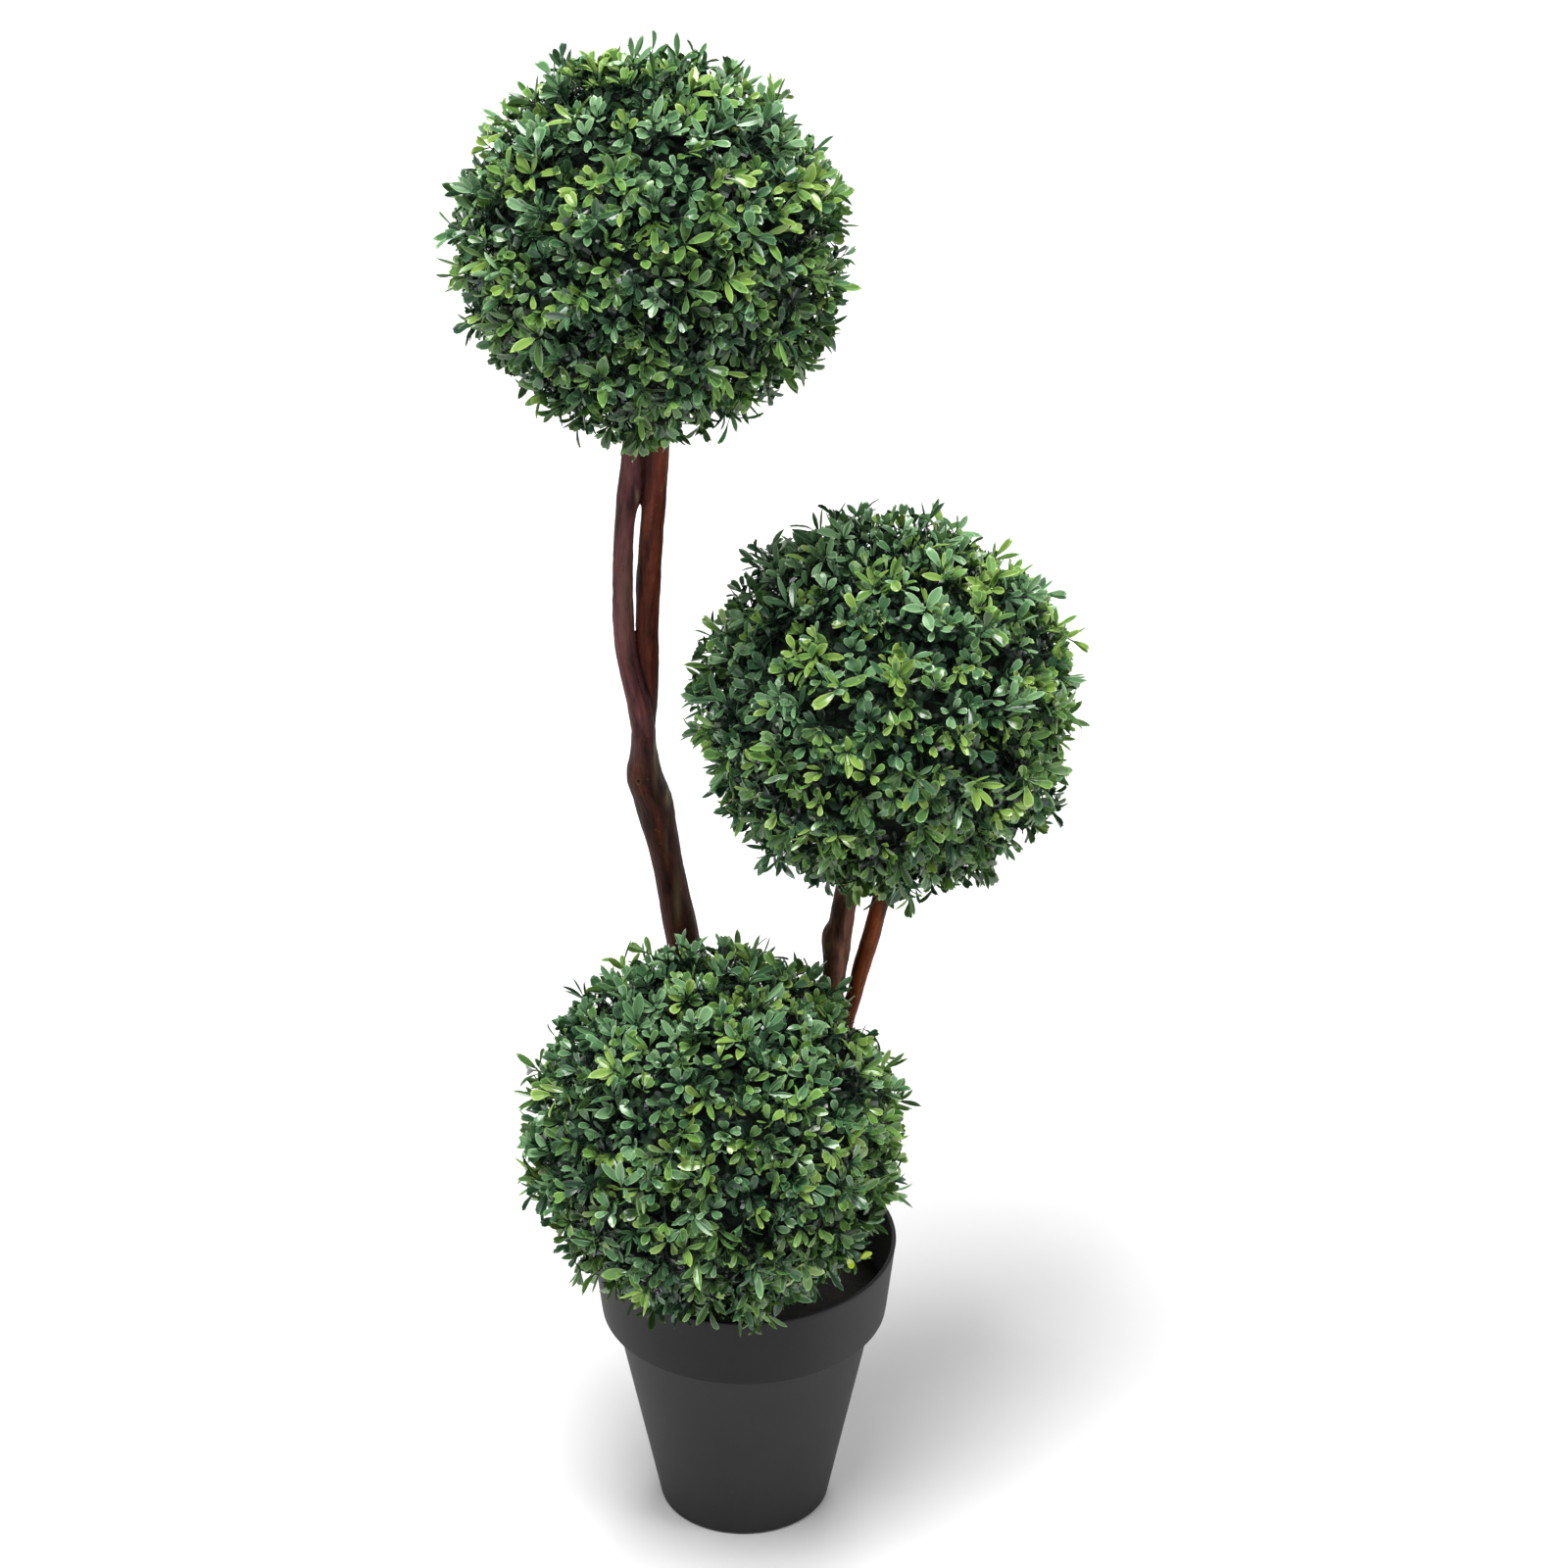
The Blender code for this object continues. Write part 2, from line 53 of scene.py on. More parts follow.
class Sock:
    # a socket of a shader tree that can stand in a sum
    def __init__(self, tree, socket=None):
        self.tree, self.socket = tree, socket

    def node(self, kind, settings=None, sockets=None, output=0):
        made = self.tree.nodes.new("ShaderNode" + kind)
        for key, value in (settings or {}).items():
            setattr(made, key, value)
        for key, value in (sockets or {}).items():
            if isinstance(value, Sock):
                self.tree.links.new(value.socket, made.inputs[key])
            else:       # a string is a colour's code
                made.inputs[key].default_value = tint(value) if isinstance(value, str) else value
        return Sock(self.tree, made.outputs[output])

    def sum(self, operation, first, second):
        return self.node("Math", {"operation": operation}, {0: first, 1: second})

    def __add__(self, other):
        return self.sum("ADD", self, other)

    def __sub__(self, other):
        return self.sum("SUBTRACT", self, other)

    def __rsub__(self, other):
        return self.sum("SUBTRACT", other, self)

    def __mul__(self, other):
        return self.sum("MULTIPLY", self, other)

    __radd__, __rmul__ = __add__, __mul__

    def __pow__(self, other):
        return self.sum("POWER", self, other)

    def clamp(self):
        return self.node("Clamp", {}, {0: self})

    def between(self, low, high):
        # 0 below low, 1 above high, smooth on the way
        return self.node("MapRange", {"interpolation_type": "SMOOTHSTEP"}, {0: self, 1: low, 2: high})

    def blend(self, share, first, second):
        # from the first colour to the second one
        return self.node("Mix", {"data_type": "RGBA"}, {0: share, 6: first, 7: second}, 2)

    def mixed(self, share, colour):
        # this colour, with a share of another one
        return self.blend(share, self, colour)

    def bump(self, strength, distance):
        # this height as a normal
        return self.node("Bump", {}, {"Strength": strength, "Distance": distance, "Height": self})

    def scaled(self, factors):
        return self.node("VectorMath", {"operation": "MULTIPLY"}, {0: self, 1: factors})

    def speckle(self, scale, detail=3.0, rough=0.55, warp=0.0):
        sockets = {"Vector": self, "Scale": scale, "Detail": detail, "Roughness": rough, "Distortion": warp}
        return self.node("TexNoise", {}, sockets)


def newFinish(name, plain):
    # a material with its even settings, its shader and a start for node sums
    material = bpy.data.materials.new(name)
    material.use_nodes = True
    shader = material.node_tree.nodes["Principled BSDF"]
    for key, value in plain.items():
        shader.inputs[key].default_value = value
    return material, shader, Sock(material.node_tree)


def feed(shader, key, value):
    value.tree.links.new(value.socket, shader.inputs[key])


def objectPlace(start):
    # each point's place in metres
    return start.node("TexCoord", {}, {}, 3)


def unit(vectors):
    return vectors / np.linalg.norm(vectors, axis=-1, keepdims=True)


def quadMesh(name, points, quads, slots, finishes):
    mesh = bpy.data.meshes.new(name)
    mesh.vertices.add(len(points))
    mesh.vertices.foreach_set("co", np.asarray(points, np.float32).ravel())
    mesh.loops.add(quads.size)
    mesh.loops.foreach_set("vertex_index", np.asarray(quads, np.int32).ravel())
    mesh.polygons.add(len(quads))
    mesh.polygons.foreach_set("loop_start", np.arange(0, quads.size, 4, dtype=np.int32))
    mesh.polygons.foreach_set("material_index", np.asarray(slots, np.int32))
    mesh.update(calc_edges=True)
    mesh.shade_smooth()
    for finish in finishes:
        mesh.materials.append(finish)
    return newPiece(name, mesh)


def ringQuads(rings, sides):
    # the faces between each ring of points and the next
    quads = []
    for k in range(rings - 1):
        for i in range(sides):
            j = (i + 1) % sides
            quads.append((k * sides + i, k * sides + j, (k + 1) * sides + j, (k + 1) * sides + i))
    return np.array(quads)


def joinLoops(bm, loops):
    # the same for loops of corners in a mesh being edited
    for below, above in zip(loops, loops[1:]):
        for i in range(len(below)):
            j = (i + 1) % len(below)
            bm.faces.new((below[i], below[j], above[j], above[i]))


def newPiece(name, mesh):
    piece = bpy.data.objects.new(name, mesh)
    bpy.context.scene.collection.objects.link(piece)
    return piece


def settle(piece, slot, *nodes):
    # the piece rides on the plant, and stands for its solids
    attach(piece, "root")
    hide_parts(*nodes)
    return piece


def turned(name, profile, segments, finish):
    # a profile of (radius, height) turned about the pot's axis and closed there
    profile = np.array(profile)
    a = np.arange(segments) * math.tau / segments
    ring = np.stack([np.cos(a), np.sin(a)], axis=1)
    points = [np.column_stack([r * ring, np.full(segments, z)]) for r, z in profile]
    bm = bmesh.new()
    loops = [[bm.verts.new(p) for p in level] for level in points]
    joinLoops(bm, loops)
    for loop, level in ((loops[0], profile[0][1]), (loops[-1], profile[-1][1])):
        hub = bm.verts.new((0, 0, level))
        for i in range(segments):
            bm.faces.new((loop[i], loop[(i + 1) % segments], hub))
    bmesh.ops.recalc_face_normals(bm, faces=bm.faces[:])
    mesh = bpy.data.meshes.new(name)
    bm.to_mesh(mesh)
    bm.free()
    mesh.shade_smooth()
    mesh.set_sharp_from_angle(angle=math.radians(40))
    mesh.materials.append(finish)
    return newPiece(name, mesh)


def bow(centre, radius, start, end, steps):
    turns = np.radians(np.linspace(start, end, steps + 1))
    return [(centre[0] + radius * math.cos(t), centre[1] + radius * math.sin(t)) for t in turns]


# the pot is a tapered body under a broad folded band

pot = {
    "height": 0.219, "rimRadius": 0.108, "bandHeight": 0.058, "bandFootRadius": 0.101,
    "bodyTopRadius": 0.0925, "baseRadius": 0.0592, "wall": 0.003, "segments": 160,
    "lipRounding": 0.0015, "bandRounding": 0.0011, "baseRounding": 0.0042,
    "innerLevels": (0.212, 0.195, 0.18), "innerMiddle": 0.08, "innerFoot": 0.004,
    # recess as (in from the base's edge, height), fillet as (down from the band, outward)
    "hub": 0.012, "recess": ((0.0130, 0.0008), (0.0122, 0.0002), (0.0115, 0)),
    "fillet": ((0.0008, 0.0001), (0, 0.0009)),
    "edgeBlur": 0.0015, "shadeSide": 0.014, "shadeReach": (0.0080, 0.0012), "ledgeShadeSpan": (0.0075, 0.002),
    "colour": "262527", "wornColour": "302f31", "scuffColour": "3b3a3c",
    "shadeColour": "161517", "ledgeShadeColour": "0f0e10", "innerLitColour": "6a696c",
}
bandFoot = pot["height"] - pot["bandHeight"]


def bandRadius(z):
    share = (z - bandFoot) / pot["bandHeight"]
    return pot["bandFootRadius"] + (pot["rimRadius"] - pot["bandFootRadius"]) * share


def bodyRadius(z):
    return pot["baseRadius"] + (pot["bodyTopRadius"] - pot["baseRadius"]) * z / bandFoot


def potFinish():
    material, shader, start = newFinish("charcoalPlastic", {"Roughness": 0.6, "Specular IOR Level": 0.25})
    place = objectPlace(start)
    cloud = place.speckle(14, 4, 0.6)
    fine = place.speckle(420, 3, 0.6)
    scuff = place.scaled((1, 1, 0.25)).speckle(60, 5, 0.7, 0.6)
    base = start.blend(cloud.between(0.35, 0.75) * 0.55, pot["colour"], pot["wornColour"])
    base = base.mixed(scuff.between(0.62, 0.8) * 0.35, pot["scuffColour"])
    sideways, forward, height = [place.node("SeparateXYZ", {}, {0: place}, k) for k in range(3)]
    onBand = height.between(bandFoot - pot["edgeBlur"], bandFoot + pot["edgeBlur"])
    leftward = sideways + pot["shadeSide"]      # painted shadow of the ball above: the front of the band is darker
    front = (leftward * leftward).between(*pot["shadeReach"]) * forward.between(0.0, -0.05)
    base = base.mixed(onBand * front, pot["shadeColour"])
    slope = (pot["rimRadius"] - pot["bandFootRadius"]) / pot["bandHeight"]
    wallMiddle = pot["bandFootRadius"] - 0.5 * pot["wall"] + slope * (height - bandFoot)
    within = wallMiddle - (sideways * sideways + forward * forward) ** 0.5      # painted light: the inside wall is paler, lifting its shade
    base = base.mixed(within.between(0.0, 0.001) * onBand, pot["innerLitColour"])
    low, high = [bandFoot - down for down in pot["ledgeShadeSpan"]]
    line = height.between(low, high) * (1 - onBand)     # painted shade: a dark line under the band's overhang
    base = base.mixed(line * 0.85, pot["ledgeShadeColour"])
    feed(shader, "Base Color", base)
    feed(shader, "Roughness", 0.52 + 0.16 * cloud + 0.06 * fine)
    ripple = start.node("TexWave", {"wave_type": "BANDS", "bands_direction": "Z"},
                        {"Vector": place, "Scale": 160.0, "Distortion": 1.4, "Detail": 2.0}, 1)
    relief = fine * 0.7 + ripple * 0.12 + cloud * 0.4
    feed(shader, "Normal", relief.bump(0.22, 0.0003))
    return material


def makePot():
    wall, ledge = pot["wall"], bandFoot + pot["wall"]
    r, b, base = pot["lipRounding"], pot["bandRounding"], pot["baseRounding"]
    profile = [(pot["hub"], pot["recess"][0][1])]
    profile += [(pot["baseRadius"] - inward, z) for inward, z in pot["recess"]]
    profile += bow((bodyRadius(base) - base, base), base, -90, -6, 8)
    profile += [(bodyRadius(share * bandFoot), share * bandFoot) for share in (0.2, 0.4, 0.6, 0.8, 0.97)]
    profile += [(bodyRadius(bandFoot - down) + outward, bandFoot - down) for down, outward in pot["fillet"]]
    profile += bow((pot["bandFootRadius"] - b, bandFoot + b), b, -90, 0, 5)
    for share in (0.1, 0.35, 0.65, 0.9):
        z = bandFoot + share * pot["bandHeight"]
        profile.append((bandRadius(z), z))
    profile += bow((pot["rimRadius"] - r, pot["height"] - r), r, 0, 180, 10)
    profile += [(bandRadius(z) - wall, z) for z in (*pot["innerLevels"], ledge + 0.001, ledge)]
    profile += [(bodyRadius(z) - wall, z) for z in (ledge, pot["innerMiddle"])]
    profile += [(bodyRadius(pot["innerFoot"]) - wall, wall)]
    return settle(turned("pot_shell", profile, pot["segments"], potFinish()), "pot_plastic", "pot")


# the cement holds the sticks

fill = {
    "top": 0.171, "crown": 0.003, "rings": 44, "spokes": 150, "hub": 0.02, "skirt": 0.006,
    # lumps as (how many to the metre, seed, share)
    "grain": 0.0011, "lumps": ((60, 3, 1), (190, 8, 0.6), (420, 5, 0.45)),
    "colour": "2a2725", "paleColour": "4b4640", "darkColour": "151413",
}


def fillFinish():
    material, shader, start = newFinish("darkCement", {"Roughness": 0.95})
    place = objectPlace(start)
    cloud = place.speckle(38, 4, 0.6)
    grit = place.speckle(520, 4, 0.7)
    pebble = start.node("TexVoronoi", {}, {"Vector": place, "Scale": 190.0})
    base = start.blend(cloud.between(0.35, 0.7), fill["darkColour"], fill["colour"])
    base = base.mixed(grit.between(0.52, 0.72) * 0.6, fill["paleColour"])
    feed(shader, "Base Color", base)
    feed(shader, "Roughness", 0.82 + 0.16 * grit)
    feed(shader, "Normal", (grit + 0.5 * pebble).bump(0.6, 0.0009))
    return material


def makeFill():
    reach = bandRadius(fill["top"]) - pot["wall"] - gap
    rings, spokes = fill["rings"], fill["spokes"]
    points = []
    for k in range(rings + 1):
        share = (k + fill["hub"]) / (rings + fill["hub"])
        for i in range(spokes):
            a = math.tau * i / spokes
            x, y = reach * share * math.cos(a), reach * share * math.sin(a)
            z = fill["top"] + fill["crown"] * min(1, (1 - share) / 0.3)
            dip = sum(w * noise.noise(Vector((x * f, y * f, seed))) for f, seed, w in fill["lumps"])
            points.append((x, y, z + fill["grain"] * (dip - 0.9)))
    wall = [(p[0], p[1], fill["top"] - fill["skirt"]) for p in points[-spokes:]]
    points = np.array(points + wall)
    quads = ringQuads(rings + 2, spokes)[:, ::-1]
    piece = quadMesh("cement_fill", points, quads, np.zeros(len(quads)), [fillFinish()])
    bm = bmesh.new()
    bm.from_mesh(piece.data)
    bmesh.ops.holes_fill(bm, edges=[e for e in bm.edges if e.is_boundary], sides=0)
    bmesh.ops.recalc_face_normals(bm, faces=bm.faces[:])
    bm.to_mesh(piece.data)
    bm.free()
    return settle(piece, "pot_cement", "pot_fill")


# the sticks: their middle lines, their thickness, their bark

footLevel = fill["top"] + fill["crown"] + gap
ballRadius, coreRadius, underCore = 0.134, 0.110, 0.008
balls = {
    "top": {"centre": (-0.0635, 0.025, 1.022), "seed": 11, "lift": 0.0, "node": "top_ball"},
    "middle": {"centre": (0.100, 0.020, 0.653), "seed": 23, "lift": 0.25, "node": "middle_ball"},
    "bottom": {"centre": (-0.0205, -0.050, 0.341), "seed": 37, "lift": 0.10, "node": "bottom_ball"},
}


def coreLevel(ball, x, y, size):
    # the end of a route, just under the core of a ball
    centre = balls[ball]["centre"]
    rise = math.sqrt(coreRadius**2 - (x - centre[0]) ** 2 - (y - centre[1]) ** 2)
    return (x, y, centre[2] - rise - underCore, size)


# routes are (x, y, height, half width); a root runs on down inside the trunk
limbs = {
    "tallTrunk": {
        "route": [(-0.0028, 0.0550, footLevel, 0.0152), (-0.0098, 0.0600, 0.2050, 0.0130),
                  (-0.0323, 0.0770, 0.3420, 0.0125), (-0.0412, 0.0740, 0.4100, 0.0123),
                  (-0.0480, 0.0710, 0.4567, 0.0117), (-0.0536, 0.0685, 0.4915, 0.0109),
                  (-0.0597, 0.0665, 0.5255, 0.0126), (-0.0637, 0.0655, 0.5475, 0.0136),
                  (-0.0688, 0.0645, 0.5670, 0.0127), (-0.0697, 0.0630, 0.5890, 0.0094),
                  (-0.0697, 0.0616, 0.6060, 0.0087)],
        "forkDepth": 1.70, "stain": "371d16",
    },
    "tallLeft": {
        "root": [(-0.0650, 0.0610, 0.5350, 0.0046), (-0.0686, 0.0590, 0.5720, 0.0068)],
        "route": [(-0.0696, 0.0562, 0.6063, 0.0080), (-0.0735, 0.0550, 0.6360, 0.0083),
                  (-0.0811, 0.0512, 0.6780, 0.0076), (-0.0833, 0.0455, 0.7200, 0.0075),
                  (-0.0819, 0.0425, 0.7828, 0.0070), (-0.0772, 0.0395, 0.8248, 0.0083),
                  coreLevel("top", -0.0715, 0.033, 0.0074)],
        "stain": "553133",
    },
    "tallRight": {
        "root": [(-0.0640, 0.0665, 0.5350, 0.0042), (-0.0680, 0.0675, 0.5720, 0.0058)],
        "route": [(-0.0686, 0.0682, 0.6063, 0.0067), (-0.0666, 0.0652, 0.6272, 0.0071),
                  (-0.0666, 0.0608, 0.6500, 0.0076), (-0.0666, 0.0570, 0.6900, 0.0081),
                  (-0.0652, 0.0530, 0.7400, 0.0087), (-0.0614, 0.0430, 0.8044, 0.0085),
                  coreLevel("top", -0.0570, 0.033, 0.0096)],
        "stain": "4f2419",
    },
    "middleTrunk": {
        "route": [(0.0340, 0.0500, footLevel, 0.0134), (0.0390, 0.0545, 0.1950, 0.0110),
                  (0.0440, 0.0580, 0.2150, 0.0102), (0.0528, 0.0620, 0.2620, 0.0092)],
        "forkDepth": 1.5, "stain": "4a2b1c",
    },
    "middleLeft": {
        "root": [(0.0445, 0.0580, 0.2160, 0.0046), (0.0475, 0.0568, 0.2400, 0.0058)],
        "route": [(0.0491, 0.0550, 0.2623, 0.0072), (0.0575, 0.0560, 0.3400, 0.0075),
                  (0.0626, 0.0545, 0.3935, 0.0080), (0.0648, 0.0530, 0.4200, 0.0091),
                  (0.0659, 0.0505, 0.4440, 0.0106), (0.0690, 0.0490, 0.4550, 0.0090),
                  coreLevel("middle", 0.0780, 0.038, 0.0080)],
        "stain": "684637",
    },
    "middleRight": {
        "root": [(0.0455, 0.0590, 0.2160, 0.0030), (0.0505, 0.0650, 0.2400, 0.0040)],
        "route": [(0.0552, 0.0692, 0.2623, 0.0050), (0.0721, 0.0580, 0.3620, 0.0055),
                  (0.0780, 0.0560, 0.3880, 0.0057), (0.0830, 0.0530, 0.4130, 0.0064),
                  (0.0881, 0.0490, 0.4350, 0.0066), (0.0933, 0.0445, 0.4620, 0.0065),
                  coreLevel("middle", 0.1075, 0.031, 0.0070)],
        "stain": "6f371b",
    },
    "lowStem": {
        "route": [(-0.0140, -0.0400, footLevel, 0.0108), (-0.0150, -0.0410, 0.1900, 0.0092),
                  coreLevel("bottom", -0.0190, -0.046, 0.0080)],
        "stain": "3d2520",
    },
}


def alongLimb(route, z):
    # x, y and half width at each height, on a smooth curve through the route
    route = np.array(route)
    z = np.clip(np.asarray(z, float), route[0, 2], route[-1, 2])
    i = np.clip(np.searchsorted(route[:, 2], z, side="right") - 1, 0, len(route) - 2)
    before, start, end = route[np.maximum(i - 1, 0)], route[i], route[i + 1]
    after = route[np.minimum(i + 2, len(route) - 1)]
    span = (end - start)[:, 2:3]
    t = (z[:, None] - start[:, 2:3]) / span
    slopeStart = (end - before) / np.maximum((end - before)[:, 2:3], 1e-6)
    slopeEnd = (after - start) / np.maximum((after - start)[:, 2:3], 1e-6)
    place = (2 * t**3 - 3 * t**2 + 1) * start + (t**3 - 2 * t**2 + t) * span * slopeStart
    place += (3 * t**2 - 2 * t**3) * end + (t**3 - t**2) * span * slopeEnd
    return place[:, :2], place[:, 3]


def limbDepth(limb, z):
    # front to back over side to side, which grows below a fork
    near = np.clip(1 - (limb["route"][-1][2] - z) / bark["forkReach"], 0, 1)
    return 1 + (limb.get("forkDepth", 1) - 1) * near**2 * (3 - 2 * near)


def touchesLimb(points, margin):
    # which points lie in a limb or within the margin of one
    hit = np.zeros(len(points), bool)
    for limb in limbs.values():
        bottom, top = limb["route"][0][2], limb["route"][-1][2]
        near = (points[:, 2] > bottom - margin) & (points[:, 2] < top + margin)
        middle, size = alongLimb(limb["route"], points[:, 2])
        away, depth = points[:, :2] - middle, limbDepth(limb, points[:, 2])
        across = (away[:, 0] / (size + margin)) ** 2 + (away[:, 1] / (size * depth + margin)) ** 2
        hit |= near & (across < 1)
    return hit


def touchesPot(points, margin):
    radius, z = np.hypot(points[:, 0], points[:, 1]), points[:, 2]
    outside = radius > np.where(z < bandFoot, pot["bandFootRadius"], bandRadius(z)) + margin
    within = (radius < bandRadius(z) - pot["wall"] - margin) & (z > fill["top"] + fill["crown"] + margin)
    return ~((z > pot["height"] + margin) | outside | within)


bark = {
    "voxel": 0.0011, "sides": 36, "step": 0.003, "intoBall": 0.022, "forkReach": 0.07,
    # relief as (height, how many across and along to the metre, seed): swells, ridges, pits
    "relief": ((0.00055, 55, 420, 7), (0.00030, 430, 330, 0), (0.00024, 900, 1500, 3)),
    "dome": ((0.002, 0.90), (0.004, 0.68), (0.0055, 0.35)),     # height and size at a trunk's end
    "blend": 0.0012, "seam": 0.0011, "seamDepth": 0.0011, "seed": 5, "knotEvery": 0.045,
    "knotWide": (0.0012, 0.0024), "knotTall": (0.002, 0.007), "knotDeep": 0.0005, "knotPale": 0.4,
    "hole": 0.001,      # a deeper scar is a hole
    # scars as (x, height, half width, half height, how deep, pale share), on the front
    "scars": {
        "tall_stick": [
            (-0.0733, 0.5718, 0.0015, 0.0024, 0.0011, 0.22), (-0.0612, 0.5920, 0.0014, 0.0170, 0.0006, 0.90),
            (-0.0527, 0.5530, 0.0020, 0.0060, 0.0009, 0.95), (-0.0540, 0.5200, 0.0010, 0.0150, 0.0004, 0.22),
            (-0.0810, 0.7350, 0.0050, 0.0420, 0.0000, 0.22), (-0.0465, 0.4660, 0.0026, 0.0200, 0.0005, 0.50),
            (-0.0730, 0.8150, 0.0012, 0.0060, 0.0005, 0.55),
        ],
        "middle_stick": [
            (0.0600, 0.4360, 0.0028, 0.0060, 0.0009, 0.45), (0.0850, 0.4480, 0.0020, 0.0070, 0.0005, 0.30),
        ],
        "low_stick": [(-0.0150, 0.2000, 0.0026, 0.0060, 0.0008, 0.50)],
    },
    # deep is the dark of the grain, and also the painted shade in the crease and the holes
    "warm": "6e2f12", "pale": "85623a", "scar": "80755c", "deep": "0d0607",
}


def woodFinish(name):
    material, shader, start = newFinish(name + "_wood", {"Specular IOR Level": 0.09})
    labels = ("grain", 1), ("stain", 1), ("scar", 2), ("grooveShade", 2)
    grain, stain, scar, grooveShade = [start.node("Attribute", {"attribute_name": label}, {}, output)
                                  for label, output in labels]
    place = objectPlace(start)
    streak = grain.speckle(190, 5, 0.62, 0.4)
    thread = grain.speckle(900, 3, 0.6)
    patch = place.scaled((1, 1, 0.35)).speckle(55, 4, 0.6, 0.5)
    fleck = place.speckle(330, 3, 0.6)
    light = 0.45 + 1.15 * streak.between(0.33, 0.66)
    shade = start.node("CombineXYZ", {}, {0: light, 1: light, 2: light})
    base = stain.scaled(shade)
    base = base.mixed(patch.between(0.52, 0.74) * 0.35, bark["warm"])
    base = base.mixed(streak.between(0.58, 0.72) * patch.between(0.42, 0.62) * 0.32, bark["pale"])
    base = base.mixed(fleck.between(0.60, 0.74) * patch.between(0.40, 0.60) * 0.40, bark["pale"])
    base = base.mixed(patch.between(0.50, 0.30) * 0.7, bark["deep"])
    base = base.mixed(thread.between(0.55, 0.75) * 0.35, bark["deep"])
    base = base.mixed((scar * (0.5 + 0.7 * streak)).clamp(), bark["scar"])
    # painted shade in the crease between the boughs and in the holes
    base = base.mixed((grooveShade * 0.85).clamp(), bark["deep"])
    feed(shader, "Base Color", base)
    feed(shader, "Roughness", (0.42 + 0.25 * streak + 0.12 * fleck + 0.1 * scar).clamp())
    relief = streak * 0.8 + thread * 0.45 + fleck * 0.25
    feed(shader, "Normal", relief.bump(0.55, 0.0006))
    return material


def addTube(bm, line, sizes, depths):
    loops, sides = [], bark["sides"]
    for (x, y, z), size, depth in zip(line, sizes, depths):
        turns = [math.tau * (i + 0.5) / sides for i in range(sides)]
        ring = [(x + size * math.cos(a), y + size * depth * math.sin(a), z) for a in turns]
        loops.append([bm.verts.new(point) for point in ring])
    joinLoops(bm, loops)
    bm.faces.new(reversed(loops[0]))
    bm.faces.new(loops[-1])


def makeStick(name, limbNames, nodes):
    bm = bmesh.new()
    for limbName in limbNames:
        limb = limbs[limbName]
        route = limb.get("root", []) + limb["route"]
        x, y, top, size = route[-1]
        isTrunk = "forkDepth" in limb
        if not isTrunk:     # on into the leaves, straight up
            route = route + [(x, y, top + bark["intoBall"], size)]
        levels = np.append(np.arange(route[0][2], route[-1][2], bark["step"]), route[-1][2])
        middle, sizes = alongLimb(route, levels)
        line = np.column_stack([middle, levels])
        depths = limbDepth(limb, levels)
        if isTrunk:         # the trunk closes in a dome between its boughs
            dome = np.array(bark["dome"])
            line = np.concatenate([line, line[-1] + np.outer(dome[:, 0], (0, 0, 1))])
            sizes, depths = np.append(sizes, sizes[-1] * dome[:, 1]), np.append(depths, [depths[-1]] * 3)
        addTube(bm, line, sizes, depths)
    bmesh.ops.triangulate(bm, faces=[f for f in bm.faces if len(f.verts) > 4])
    mesh = bpy.data.meshes.new(name)
    bm.to_mesh(mesh)
    bm.free()
    piece = newPiece(name, mesh)
    for kind, settings in (("REMESH", {"mode": "VOXEL", "voxel_size": bark["voxel"]}),
                           ("SMOOTH", {"factor": 0.5, "iterations": 4})):
        modifier = piece.modifiers.new(kind.lower(), kind)
        for key, value in settings.items():
            setattr(modifier, key, value)
    graph = bpy.context.evaluated_depsgraph_get()
    mesh = bpy.data.meshes.new_from_object(piece.evaluated_get(graph))
    piece.modifiers.clear()
    piece.data = mesh
    mesh.name = name
    reliefOf(mesh, name, limbNames)
    mesh.shade_smooth()
    mesh.materials.append(woodFinish(name))
    return settle(piece, "stained_wood", *nodes)


